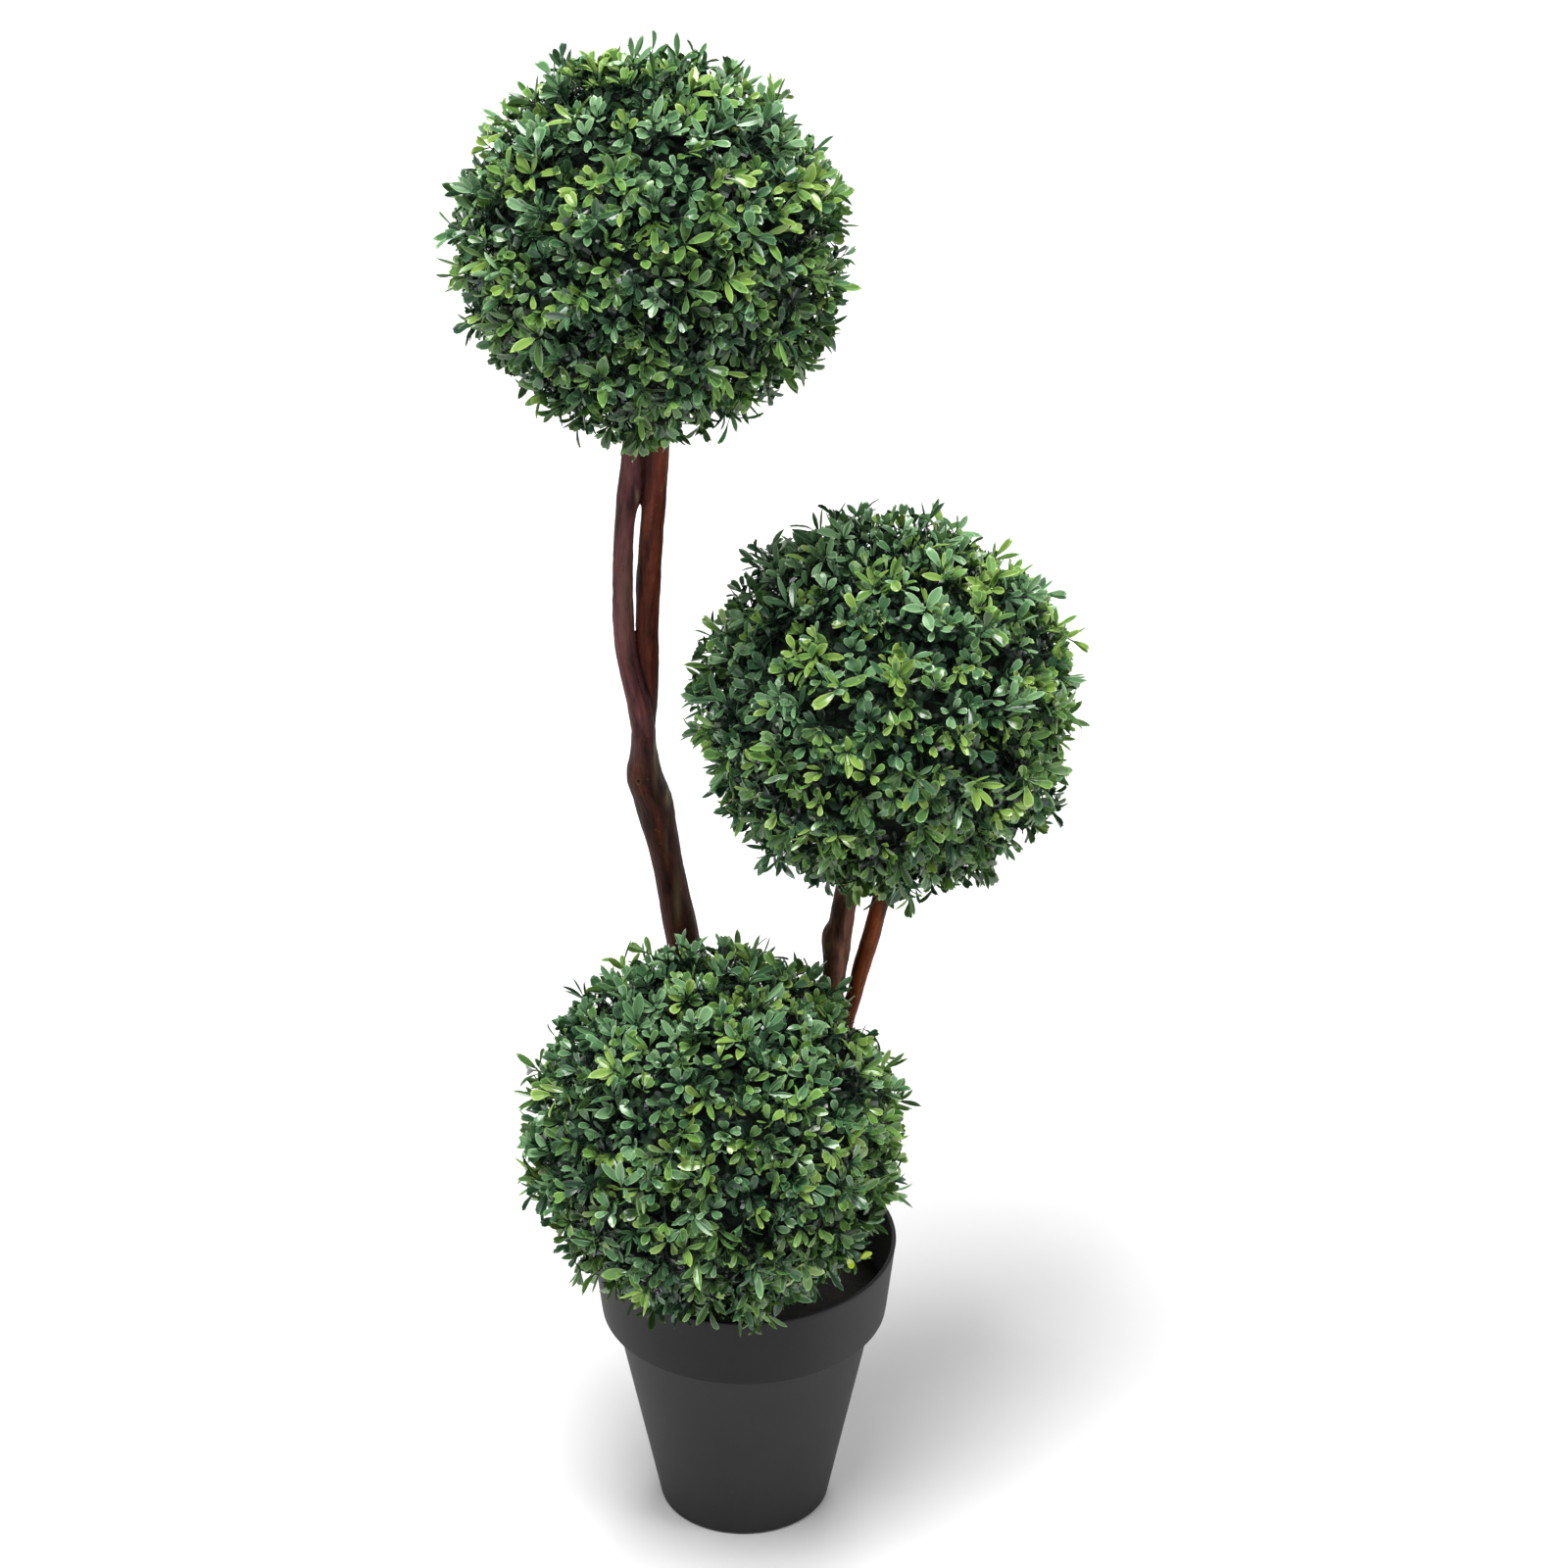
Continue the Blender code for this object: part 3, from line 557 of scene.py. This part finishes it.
def reliefOf(mesh, name, limbNames):
    # moves the skin along its normals, and notes grain, scars and the painted shade of grooves on its points
    count = len(mesh.vertices)
    points, normals = np.empty((2, count, 3))
    mesh.vertices.foreach_get("co", points.ravel())
    mesh.vertices.foreach_get("normal", normals.ravel())
    grain = np.zeros((count, 3))
    nearest, boughs = np.full(count, 9.0), []
    stain, weights = np.zeros((count, 3)), np.zeros(count)
    for k, limbName in enumerate(limbNames):
        limb = limbs[limbName]
        route = limb.get("root", []) + limb["route"]
        middle, size = alongLimb(route, points[:, 2])
        away, depth = points[:, :2] - middle, limbDepth(limb, points[:, 2])
        reach = np.hypot(away[:, 0], away[:, 1] / depth) - size
        reach += 0.25 * np.clip(points[:, 2] - route[-1][2], 0, 1)      # it fades out past its top
        reach = np.where(points[:, 2] < route[0][2], 9.0, reach)
        if "root" in limb:
            boughs.append(reach)
        closer = reach < nearest
        nearest = np.where(closer, reach, nearest)
        local = np.column_stack([away, points[:, 2] * 0.1 + 0.37 * k])
        grain = np.where(closer[:, None], local, grain)
        weight = np.exp(-np.minimum(reach, 0.05) / bark["blend"])   # stains blend where two sticks meet
        stain += weight[:, None] * tint(limb["stain"])[:3]
        weights += weight
    grooveShade = np.zeros(count)
    if boughs:      # painted shade: a dark line where the two boughs lie side by side
        grooveShade = np.exp(-(((boughs[0] - boughs[1]) / bark["seam"]) ** 2)) * (np.maximum(*boughs) < 0.003)
    scar, dent = np.zeros(count), np.zeros(count)
    rng = np.random.default_rng(bark["seed"])
    scars = [(*s, -1) for s in bark["scars"][name]]
    for _ in range(round(np.ptp(points[:, 2]) / bark["knotEvery"])):     # knots on the other sides
        pick = points[rng.integers(count)]
        extent = rng.uniform(*bark["knotWide"]), rng.uniform(*bark["knotTall"])
        scars.append((pick[0], pick[2], *extent, bark["knotDeep"], bark["knotPale"], 1))
    for x, z, wide, tall, deep, pale, side in scars:
        spot = ((points[:, 0] - x) / wide) ** 2 + ((points[:, 2] - z) / tall) ** 2
        facing = np.clip((normals[:, 1] * side + 0.3) * 2.5, 0, 1)
        ring = np.exp(-((np.sqrt(spot) - 1) ** 2) / 0.08) * facing
        pit = np.exp(-spot * 1.6) * facing
        dent += deep * (0.5 * ring - pit)
        isHole = deep > bark["hole"]
        scar = np.maximum(scar, pale * (ring if isHole else np.exp(-spot * 0.9) * facing))
        if isHole:      # painted shade darkens its middle
            grooveShade = np.maximum(grooveShade, 0.7 * np.exp(-spot * 3) * facing)
    moved = np.zeros(count)
    for i in range(count):
        x, y, z = grain[i]
        for tall, across, along, seed in bark["relief"]:
            moved[i] += tall * noise.noise(Vector((x * across, y * across, z * along + seed)))
    moved += dent - bark["seamDepth"] * grooveShade
    points += normals * moved[:, None]
    mesh.vertices.foreach_set("co", points.ravel())
    stain /= weights[:, None]
    for label, data in (("grain", grain), ("stain", stain), ("scar", scar), ("grooveShade", grooveShade)):
        kind, field = ("FLOAT_VECTOR", "vector") if data.ndim == 2 else ("FLOAT", "value")
        attribute = mesh.attributes.new(label, kind, "POINT")
        attribute.data.foreach_set(field, np.asarray(data, np.float32).ravel())
    mesh.update()


# the leaves: their tones, their outlines, and the rule that they grow by

# two ladders from dark to light, a bluish and a yellowish one: the blade, then its margin
leafTones = {
    "deepTeal": ("29462f", "426547"), "bottle": ("385c3b", "587d52"),
    "greySheen": ("4e754b", "749b6c"), "mist": ("6a9164", "94b48a"),
    "olive": ("344f2a", "53763d"), "middle": ("496d37", "6d9452"),
    "fresh": ("60873f", "86ac5f"), "yellowish": ("779845", "9eb76a"),
    "shade": ("1d3022", "1d3022"), "lime": ("9db41c", "b4c834"),
}
ladder = 4
toneNames = list(leafTones)
leafPlain = {"Roughness": 0.22, "Specular IOR Level": 0.46}
stalkPlain = {"Roughness": 0.5, "Specular IOR Level": 0.25}
twigColour = "1d3322"

leafForms = {
    # rows are (share along, half width), both over the leaf's length
    "heart": {
        "rows": [(0, 0.028), (0.28, 0.045), (0.48, 0.185), (0.72, 0.300), (0.91, 0.275), (0.985, 0.215)],
        "tip": (-0.11, 0.015, -0.05), "margin": 0.80, "fold": 0.44, "curl": 0.9, "bend": -0.10,
    },
    "cup": {
        "rows": [(0, 0.028), (0.26, 0.045), (0.46, 0.200), (0.68, 0.285), (0.90, 0.255), (0.985, 0.190)],
        "tip": (-0.06, 0.01, -0.06), "margin": 0.80, "fold": 0.55, "curl": 0.2, "bend": 0.16,
    },
    "oval": {
        "rows": [(0, 0.026), (0.24, 0.040), (0.44, 0.165), (0.66, 0.240), (0.87, 0.190), (0.98, 0.090)],
        "tip": (0.02, 0.01, -0.03), "margin": 0.80, "fold": 0.50, "curl": 0.7, "bend": -0.16,
    },
    "spoon": {
        "rows": [(0, 0.024), (0.30, 0.036), (0.52, 0.125), (0.74, 0.200), (0.91, 0.185), (0.985, 0.130)],
        "tip": (-0.03, 0.01, -0.04), "margin": 0.78, "fold": 0.52, "curl": 0.6, "bend": -0.22,
    },
    "long": {
        "rows": [(0, 0.020), (0.12, 0.032), (0.30, 0.125), (0.52, 0.195), (0.72, 0.185), (0.89, 0.110),
                 (0.985, 0.030)],
        "tip": (0.015, 0.005, -0.01), "margin": 0.82, "fold": 0.48, "curl": 0.8, "bend": -0.14,
    },
    "blade": {
        "rows": [(0, 0.018), (0.12, 0.028), (0.30, 0.100), (0.52, 0.148), (0.72, 0.140), (0.89, 0.085),
                 (0.985, 0.022)],
        "tip": (0.015, 0.005, -0.01), "margin": 0.80, "fold": 0.52, "curl": 0.5, "bend": 0.12,
    },
    "inner": {      # deep in the ball, of a few faces
        "rows": [(0, 0.028), (0.34, 0.070), (0.66, 0.270), (0.96, 0.215)],
        "tip": (-0.03, 0, 0), "fold": 0.30, "curl": 0.5, "bend": -0.10,
    },
}
formNames = list(leafForms)

growth = {      # tops are shares of the ball's radius
    "places": 960, "everyTwig": 3,      # a stem from the core at every third place
    "sunk": 0.008, "lean": 0.26, "stemRadius": 0.0007, "lumps": 0.055,
    "stemTop": (0.850, 0.950), "stemPairs": 5, "sideTop": (0.805, 0.930), "sidePairs": 4,
    "smallLength": (0.0120, 0.0162), "smallForms": (0.40, 0.20, 0.18, 0.22), "shaded": 0.75,
    "rosettes": 70, "rosetteTop": (0.905, 0.985), "rosetteLeaves": 6, "bigLength": (0.0160, 0.0235),
    "wisps": 140, "wispTop": (0.925, 0.995), "wispPairs": 3, "wispLength": (0.0150, 0.0215),
    "limbClear": 0.0016, "reach": 0.1490, "leastShrink": 0.55,
    "turns": (-0.4, 0.4), "tilts": (-18, 18), "twists": (-0.6, 0.6), "widths": (0.74, 1.04),
    "bends": (-0.04, 0.14),
    "twigSides": 4, "twigTaper": (1.25, 1.0, 0.55),
    "limeSpot": (0.0770, -0.1301, 0.2904), "limeTurns": (0.7, 1.3, 2.9), "limeLength": 0.0122,
    # the lowest ball is clipped closer beside the rim, and has a notch beside a stick
    "thin": (0.81, -0.32, -0.49), "thinDepth": 0.08, "thinWidth": 0.10,
    "dip": (0.788, 0.335, 0.516), "dipAlong": (0, -0.839, 0.545), "dipFloor": 0.1225, "dipRise": 188,
}


def leafFinishes():
    finishes = []
    for name, pair in leafTones.items():
        for part, code in zip(("blade", "margin"), pair):
            finishes.append(newFinish(f"leaf_{name}_{part}", {**leafPlain, "Base Color": tint(code)})[0])
    finishes.append(newFinish("leaf_stalk", {**stalkPlain, "Base Color": tint(twigColour)})[0])
    return finishes


def leafGrid(form):
    # points of one leaf of length 1 (x across, y along, z up), its faces and each face's part
    shape = leafForms[form]
    m, last = shape.get("margin"), len(shape["rows"]) - 1
    columns = (-1, -m, 0, 0, m, 1) if m else (-1, 0, 0, 1)      # the midrib is a sharp fold
    wide = len(columns)
    points, quads, parts = [], [], []
    for r, (share, half) in enumerate(shape["rows"]):
        for c in columns:
            x, y = half * c, share
            if r == last:
                y += shape["tip"][0 if c == 0 else 1 if abs(c) < 1 else 2]
            z = shape["fold"] * abs(x) - shape["curl"] * x * x + shape["bend"] * share * share
            points.append((x, y, z))
    for r in range(last):
        for c in range(wide - 1):
            if columns[c] == columns[c + 1]:
                continue
            a = r * wide + c
            quads.append((a, a + 1, a + wide + 1, a + wide))
            edge = m and (c in (0, wide - 2) or r == last - 1)
            parts.append("stalk" if r == 0 else "margin" if edge else "base" if r == 1 else "blade")
    return np.array(points), np.array(quads), parts


def aboutAxis(axis):
    helper = np.where(np.abs(axis[:, 2:]) < 0.9, [[0.0, 0.0, 1.0]], [[1.0, 0.0, 0.0]])
    side = unit(np.cross(helper, axis))
    return side, np.cross(axis, side)


def goldenDirections(count):
    i = np.arange(count)
    height = 1 - 2 * (i + 0.5) / count
    across = np.sqrt(1 - height**2)
    return np.column_stack([across * np.cos(i * goldenAngle), across * np.sin(i * goldenAngle), height])


def formOf(*names):
    return [formNames.index(name) for name in names]


def lighter(tones, change):
    # so many steps up or down the same ladder
    stepped = tones // ladder * ladder + np.clip(tones % ladder + change, 0, ladder - 1)
    return np.where(tones < 2 * ladder, stepped, tones)


def inDip(away):
    # which places lie in the notch, measured from the ball's centre
    toward = np.array(growth["dip"])
    aside = away @ np.cross(toward, growth["dipAlong"])
    return away @ toward > growth["dipFloor"] + growth["dipRise"] * aside**2


class Sprays:
    # gathers the leaves and twigs of one ball

    def __init__(self, ball):
        self.ball, self.centre = ball, np.array(balls[ball]["centre"])
        self.rng, self.lift = np.random.default_rng(balls[ball]["seed"]), balls[ball]["lift"]
        self.small, self.big, self.paths = [], [], []

    def clear(self, points):
        # points is leaves x samples x 3: true for the leaves that stay clear
        flat = points.reshape(-1, 3)
        bad = np.linalg.norm(flat - self.centre, axis=1) > growth["reach"] + 0.0005
        bad |= touchesLimb(flat, growth["limbClear"]) | touchesPot(flat, growth["limbClear"])
        return ~bad.reshape(points.shape[:2]).any(axis=1)

    def dealTones(self, places, level, warmth):
        # one tone to a spray, partly at random: greyer above for a painted sky sheen, yellower below and on
        # the right, lighter above for painted top light
        out = unit(places - self.centre)
        cloud = np.array([noise.noise(Vector(p * 22)) for p in places])
        drift = np.array([noise.noise(Vector(p * 41 + 9)) for p in places])
        warm = warmth + 0.7 * cloud + 0.25 * (out[:, 0] - out[:, 2]) + self.rng.normal(0, 0.5, len(places))
        step = level + self.lift + 0.9 * out[:, 2] + 0.8 * drift + self.rng.normal(0, 0.75, len(places))
        return (warm > 0) * ladder + np.clip(np.round(step), 0, ladder - 1).astype(int)

    def addLeaves(self, store, nodes, axis, turn, spread, lengths, tones, forms):
        rng, count = self.rng, len(nodes)
        side, up = aboutAxis(axis)
        turn = turn + rng.uniform(*growth["turns"], count)
        tilt = np.radians(spread + rng.uniform(*growth["tilts"], count))
        outward = np.cos(turn)[:, None] * side + np.sin(turn)[:, None] * up
        along = np.cos(tilt)[:, None] * axis + np.sin(tilt)[:, None] * outward
        face = unit(axis - (axis * along).sum(axis=1)[:, None] * along)
        twist = rng.uniform(*growth["twists"], count)[:, None]
        face = np.cos(twist) * face + np.sin(twist) * np.cross(along, face)
        across = np.cross(along, face)
        # a leaf that would stand too far out is cut down to fit, or left out
        start = np.linalg.norm(nodes - self.centre, axis=1)
        end = np.linalg.norm(nodes + along * lengths[:, None] - self.centre, axis=1)
        fits = np.clip((growth["reach"] - start) / np.maximum(end - start, 1e-6), 0, 1)
        fits = np.where(end > growth["reach"], fits, 1.0)
        lengths = lengths * fits
        shares = np.array([0.45, 0.8, 1.0])
        middle = nodes[:, None] + along[:, None] * (lengths[:, None] * shares)[:, :, None]
        edge = across[:, None] * (0.25 * lengths[:, None, None])
        samples = np.concatenate([middle, middle[:, :2] + edge, middle[:, :2] - edge], axis=1)
        keep = self.clear(samples) & (fits > growth["leastShrink"])
        if self.ball == "bottom":
            keep &= ~inDip(samples - self.centre).any(axis=1)
        widths, bends = rng.uniform(*growth["widths"], count), rng.normal(*growth["bends"], count)
        columns = (nodes, across, along, face, lengths, widths, bends, tones, forms)
        store.append([column[keep] for column in columns])
        return keep

    def addPaths(self, starts, ends, radius, arch=0.0011):
        # a twig as three points with a slight bow
        bowed = (starts + ends) / 2 + self.rng.normal(0, arch, starts.shape)
        paths = np.stack([starts, bowed, ends], axis=1)
        keep = self.clear(np.stack([starts * 0.4 + ends * 0.6, ends], axis=1))
        self.paths.append((paths[keep], radius))
        return keep


def growSprays(ball):
    sprays = Sprays(ball)
    rng, centre = sprays.rng, sprays.centre
    directions = goldenDirections(growth["places"])
    directions = unit(directions + rng.uniform(-0.04, 0.04, directions.shape))
    isStem = np.arange(len(directions)) % growth["everyTwig"] == 0

    def outTo(directions, span):
        lump = np.array([noise.noise(Vector(d * 2.4 + centre * 30)) for d in directions])
        share = rng.uniform(*span, len(directions)) + growth["lumps"] * lump
        if ball == "bottom":
            away = 1 - directions @ unit(np.array(growth["thin"]))
            share = share - growth["thinDepth"] * np.exp(-away / growth["thinWidth"])
        return centre + directions * (share * ballRadius)[:, None]

    # stems stand out of the core, each leaning a little sideways
    out = directions[isStem]
    side, up = aboutAxis(out)
    way = rng.uniform(0, math.tau, len(out))[:, None]
    lean = growth["lean"] * (np.cos(way) * side + np.sin(way) * up) * rng.uniform(0.1, 1, len(out))[:, None]
    base = centre + out * (coreRadius - growth["sunk"])
    tip = outTo(unit(out + lean * 0.5), growth["stemTop"])
    keep = sprays.addPaths(base, tip, growth["stemRadius"])
    stems = (base[keep], tip[keep])

    # side twigs leave the nearest stem and reach out to their own places
    goal = outTo(directions[~isStem], growth["sideTop"])
    near = np.linalg.norm(goal[:, None] - stems[1][None], axis=2).argmin(axis=1)
    share = rng.uniform(0.2, 0.6, len(goal))[:, None]
    fork = stems[0][near] * (1 - share) + stems[1][near] * share
    keep = sprays.addPaths(fork, goal, growth["stemRadius"] * 0.8)
    sides = (fork[keep], goal[keep])

    for (start, end), pairs, low in ((stems, growth["stemPairs"], 0.2), (sides, growth["sidePairs"], 0.35)):
        count = len(start)
        axis = unit(unit(end - start) + 0.6 * unit(end - centre) + rng.normal(0, 0.16, end.shape))
        turn = rng.uniform(0, math.tau, count)
        tone = sprays.dealTones(end, 1.35, 0.0)
        for pair in range(pairs):
            rise = pair / (pairs - 1)
            share = low + (1 - low) * min(1.0, pair / (pairs - 2))
            isInner = pair < pairs - 2
            for half in (0, math.pi):
                lengths = rng.uniform(*growth["smallLength"], count) * (0.88 + 0.12 * rise)
                forms = rng.choice(formOf("heart", "cup", "oval", "spoon"), count, p=growth["smallForms"])
                drift = lighter(tone, rng.choice([-1, 0, 0, 0, 1], count))
                if isInner:         # painted shade: deep in the ball most of them take the shade tone, the rest two steps darker
                    forms = np.full(count, formNames.index("inner"))
                    isShaded = rng.random(count) < growth["shaded"]
                    drift = np.where(isShaded, toneNames.index("shade"), lighter(tone, -2))
                sprays.addLeaves(sprays.small, start + (end - start) * share, axis,
                                 turn + pair * math.pi / 2 + half, 70 - 34 * rise, lengths, drift, forms)

    # rosettes of longer leaves stand a little proud of the rest
    out = unit(goldenDirections(growth["rosettes"]) + rng.uniform(-0.18, 0.18, (growth["rosettes"], 3)))
    start = centre + out * (coreRadius - growth["sunk"])
    end = outTo(unit(out + rng.uniform(-0.05, 0.05, out.shape)), growth["rosetteTop"])
    keep = sprays.addPaths(start, end, growth["stemRadius"] * 1.1)
    start, end = start[keep], end[keep]
    axis = unit(unit(end - start) + rng.normal(0, 0.25, end.shape))
    turn = rng.uniform(0, math.tau, len(end))
    tone = sprays.dealTones(end, 1.9, 0.35)
    for i in range(growth["rosetteLeaves"]):
        some = rng.random(len(end)) < (0.97 if i < 4 else 0.6)      # the last two are smaller and fewer
        lengths = rng.uniform(*growth["bigLength"], len(end)) * (1.0 if i < 4 else 0.8)
        drift = lighter(tone, rng.choice([-1, 0, 0, 1], len(end)))
        node = end - unit(end - start) * 0.0012 * (5 - i)
        forms = rng.choice(formOf("long", "long", "blade"), len(end))
        sprays.addLeaves(sprays.big, node[some], axis[some], (turn + i * goldenAngle)[some], 62 - 6 * i,
                         lengths[some], drift[some], forms[some])

    # wisps arch out past the clipped outline, with a few slim leaves
    count = growth["wisps"]
    out = unit(goldenDirections(count)[::-1] + rng.uniform(-0.2, 0.2, (count, 3)))
    start = centre + unit(out + rng.normal(0, 0.05, out.shape)) * (coreRadius - growth["sunk"])
    end = outTo(out, growth["wispTop"])
    keep = sprays.addPaths(start, end, growth["stemRadius"], 0.0028)
    start, end = start[keep], end[keep]
    axis = unit(unit(end - start) + rng.normal(0, 0.3, end.shape))
    turn = rng.uniform(0, math.tau, len(end))
    tone = sprays.dealTones(end, 1.2, 0.1)
    leafy = np.zeros(len(end), bool)
    for pair in range(growth["wispPairs"]):
        for half in (0, math.pi):
            lengths = rng.uniform(*growth["wispLength"], len(end))
            node = start + (end - start) * (0.76 + 0.12 * pair)
            drift = lighter(tone, rng.choice([-1, 0, 0, 1], len(end)))
            forms = rng.choice(formOf("blade", "blade", "spoon"), len(end))
            leafy |= sprays.addLeaves(sprays.big, node, axis, turn + pair * math.pi / 2 + half,
                                      62 - 14 * pair, lengths, drift, forms)
    paths, radius = sprays.paths[-1]
    sprays.paths[-1] = (paths[leafy], radius)       # none stays bare

    if ball == "bottom":        # one bright sprig over the pot
        turn = np.array(growth["limeTurns"])
        count = len(turn)
        spot = np.array([growth["limeSpot"]] * count)
        ends = spot + unit(spot - centre) * 0.004
        sprays.addPaths(spot * 0.7 + centre * 0.3, ends, growth["stemRadius"])
        axis = unit(unit(spot - centre) + (0, -0.8, 0.5))
        sprays.addLeaves(sprays.big, ends, axis, turn, 68, np.full(count, growth["limeLength"]),
                         np.full(count, toneNames.index("lime")), np.full(count, formNames.index("cup")))
    return sprays


def repeated(quads, count, points):
    # the faces of so many copies of a shape with so many points
    return (quads[None] + (np.arange(count) * points)[:, None, None]).reshape(-1, 4)


def leafPiece(name, store, finishes, node, half=None):
    data = [np.concatenate(column) for column in zip(*store)]
    if half is not None:
        pick = np.arange(len(data[0])) % 2 == half
        data = [column[pick] for column in data]
    nodes, across, along, face, lengths, widths, bends, tones, forms = data
    allPoints, allQuads, allSlots, offset = [], [], [], 0
    for f in np.unique(forms):
        pick = forms == f
        points, quads, parts = leafGrid(formNames[f])
        local = np.repeat(points[None], pick.sum(), axis=0)
        local[:, :, 2] += bends[pick, None] * local[:, :, 1] ** 2
        local *= np.column_stack([lengths * widths, lengths, lengths])[pick, None]
        world = local[:, :, :1] * across[pick, None] + local[:, :, 1:2] * along[pick, None]
        world = world + local[:, :, 2:] * face[pick, None] + nodes[pick, None]
        count = len(world)
        allPoints.append(world.reshape(-1, 3))
        allQuads.append(repeated(quads, count, len(points)) + offset)
        offset += count * len(points)
        tone = tones[pick][:, None]
        table = {"blade": tone * 2, "margin": tone * 2 + 1, "base": lighter(tone, -1) * 2,
                 "stalk": np.full_like(tone, 2 * len(leafTones))}
        allSlots.append(np.concatenate([table[part] for part in parts], axis=1).ravel())
    joined = [np.concatenate(some) for some in (allPoints, allQuads, allSlots)]
    return settle(quadMesh(name, *joined, finishes), "leaves", node)


def twigPiece(name, paths, finish, node):
    allPoints, allQuads, offset = [], [], 0
    sides = growth["twigSides"]
    for lines, radius in paths:
        run = unit(lines[:, -1] - lines[:, 0])
        side, up = aboutAxis(run)
        a = np.arange(sides) * math.tau / sides
        ring = np.cos(a)[None, :, None] * side[:, None] + np.sin(a)[None, :, None] * up[:, None]
        tapers = enumerate(growth["twigTaper"])
        levels = [lines[:, k, None] + ring * radius * taper for k, taper in tapers]
        points = np.stack(levels, axis=1)
        each = len(levels) * sides
        allPoints.append(points.reshape(-1, 3))
        allQuads.append(repeated(ringQuads(len(levels), sides), len(lines), each) + offset)
        offset += len(lines) * each
    quads = np.concatenate(allQuads)
    piece = quadMesh(name, np.concatenate(allPoints), quads, np.zeros(len(quads)), [finish])
    return settle(piece, "leaves", node)


# the core is a dark sphere in each ball: painted shade for the depths between the leaves
def coreFinish():
    material, shader, start = newFinish("shadedCore", {"Specular IOR Level": 0.2})
    place = objectPlace(start)
    tangle = place.speckle(160, 4, 0.65, 1.2)
    base = start.blend(tangle.between(0.45, 0.7), "060b08", "16281a")
    feed(shader, "Base Color", base)
    feed(shader, "Roughness", 0.7 + 0.25 * tangle)
    feed(shader, "Normal", tangle.bump(0.8, 0.002))
    return material


def makeCore(ball, finish):
    centre = Vector(balls[ball]["centre"])
    bm = bmesh.new()
    bmesh.ops.create_icosphere(bm, subdivisions=4, radius=coreRadius)
    for vert in bm.verts:
        out = vert.co.normalized()
        lump = noise.noise(vert.co * 70) + 0.6 * noise.noise(vert.co * 190)
        vert.co = centre + out * (coreRadius - 0.003 + 0.0035 * lump)
    mesh = bpy.data.meshes.new(ball + "_core")
    bm.to_mesh(mesh)
    bm.free()
    mesh.shade_smooth()
    mesh.materials.append(finish)
    return settle(newPiece(ball + "_core", mesh), "leaves", balls[ball]["node"])


# making it all

print("pot and cement")
makePot()
makeFill()

print("sticks")
for height in ("tall", "middle"):
    limbNames = [height + end for end in ("Trunk", "Left", "Right")]
    nodes = [height + end for end in ("_trunk", "_bough_left", "_bough_right")]
    makeStick(height + "_stick", limbNames, nodes)
makeStick("low_stick", ["lowStem"], ["low_stem"])

finishes = leafFinishes()
shadedCore = coreFinish()
for ball in balls:
    print("leaves of the", ball, "ball")
    node = balls[ball]["node"]
    sprays = growSprays(ball)
    makeCore(ball, shadedCore)
    twigPiece(ball + "_twigs", sprays.paths, finishes[-1], node)
    for half in (0, 1):
        leafPiece(f"{ball}_leaves_{half + 1}", sprays.small, finishes, node, half)
    leafPiece(ball + "_rosettes", sprays.big, finishes, node)


# floor, light and camera

studio = {
    "floorColour": "eeeeee", "floorShade": "e2e2e2", "floorReach": 30, "worldStrength": 0.28,
    "key": {"place": (-1.2, -2.2, 8.6), "size": 4.6, "power": 1105},
    "fill": {"place": (4.6, -2.6, 4.6), "size": 3.0, "power": 110},
    "back": {"place": (0.8, 4.0, 5.6), "size": 3.0, "power": 110},
    "lit": (0, 0, 0.6),
    "aim": (0.0284, 0.0, 0.6015), "elevation": 33, "distance": 9.5, "lens": 314.0,
}


def makeStudio():
    material, shader, start = newFinish("paleFloor", {"Specular IOR Level": 0.1})
    place = objectPlace(start)
    cloud = place.speckle(3, 2)
    base = start.blend(cloud, studio["floorShade"], studio["floorColour"])
    feed(shader, "Base Color", base)
    feed(shader, "Roughness", 0.85 + 0.1 * cloud)
    mesh = bpy.data.meshes.new("floor")
    reach = studio["floorReach"]
    corners = [(-reach, -reach, 0), (reach, -reach, 0), (reach, reach, 0), (-reach, reach, 0)]
    mesh.from_pydata(corners, [], [(0, 1, 2, 3)])
    mesh.materials.append(material)
    floor = newPiece("floor", mesh)

    scene = bpy.context.scene
    scene.world = bpy.data.worlds.new("studioWorld")
    scene.world.use_nodes = True
    background = scene.world.node_tree.nodes["Background"]
    background.inputs[0].default_value = (1, 1, 1, 1)
    background.inputs[1].default_value = studio["worldStrength"]
    scene.view_settings.view_transform = "Standard"

    for name in ("key", "fill", "back"):
        light = bpy.data.lights.new(name, "AREA")
        light.shape, light.size, light.energy = "DISK", studio[name]["size"], studio[name]["power"]
        lamp = bpy.data.objects.new(name, light)
        lamp.location = studio[name]["place"]
        lamp.rotation_euler = (Vector(studio["lit"]) - lamp.location).to_track_quat("-Z", "Y").to_euler()
        scene.collection.objects.link(lamp)

    rise = math.radians(studio["elevation"])
    aim = Vector(studio["aim"])
    back = Vector((0, -math.cos(rise), math.sin(rise)))
    camera = bpy.data.objects.new("camera", bpy.data.cameras.new("camera"))
    camera.data.lens, camera.data.sensor_width = studio["lens"], 36
    camera.data.clip_start, camera.data.clip_end = 0.1, 100
    camera.location = aim + back * studio["distance"]
    camera.rotation_euler = (-back).to_track_quat("-Z", "Y").to_euler()
    scene.collection.objects.link(camera)
    scene.camera = camera


print("floor, light and camera")
makeStudio()
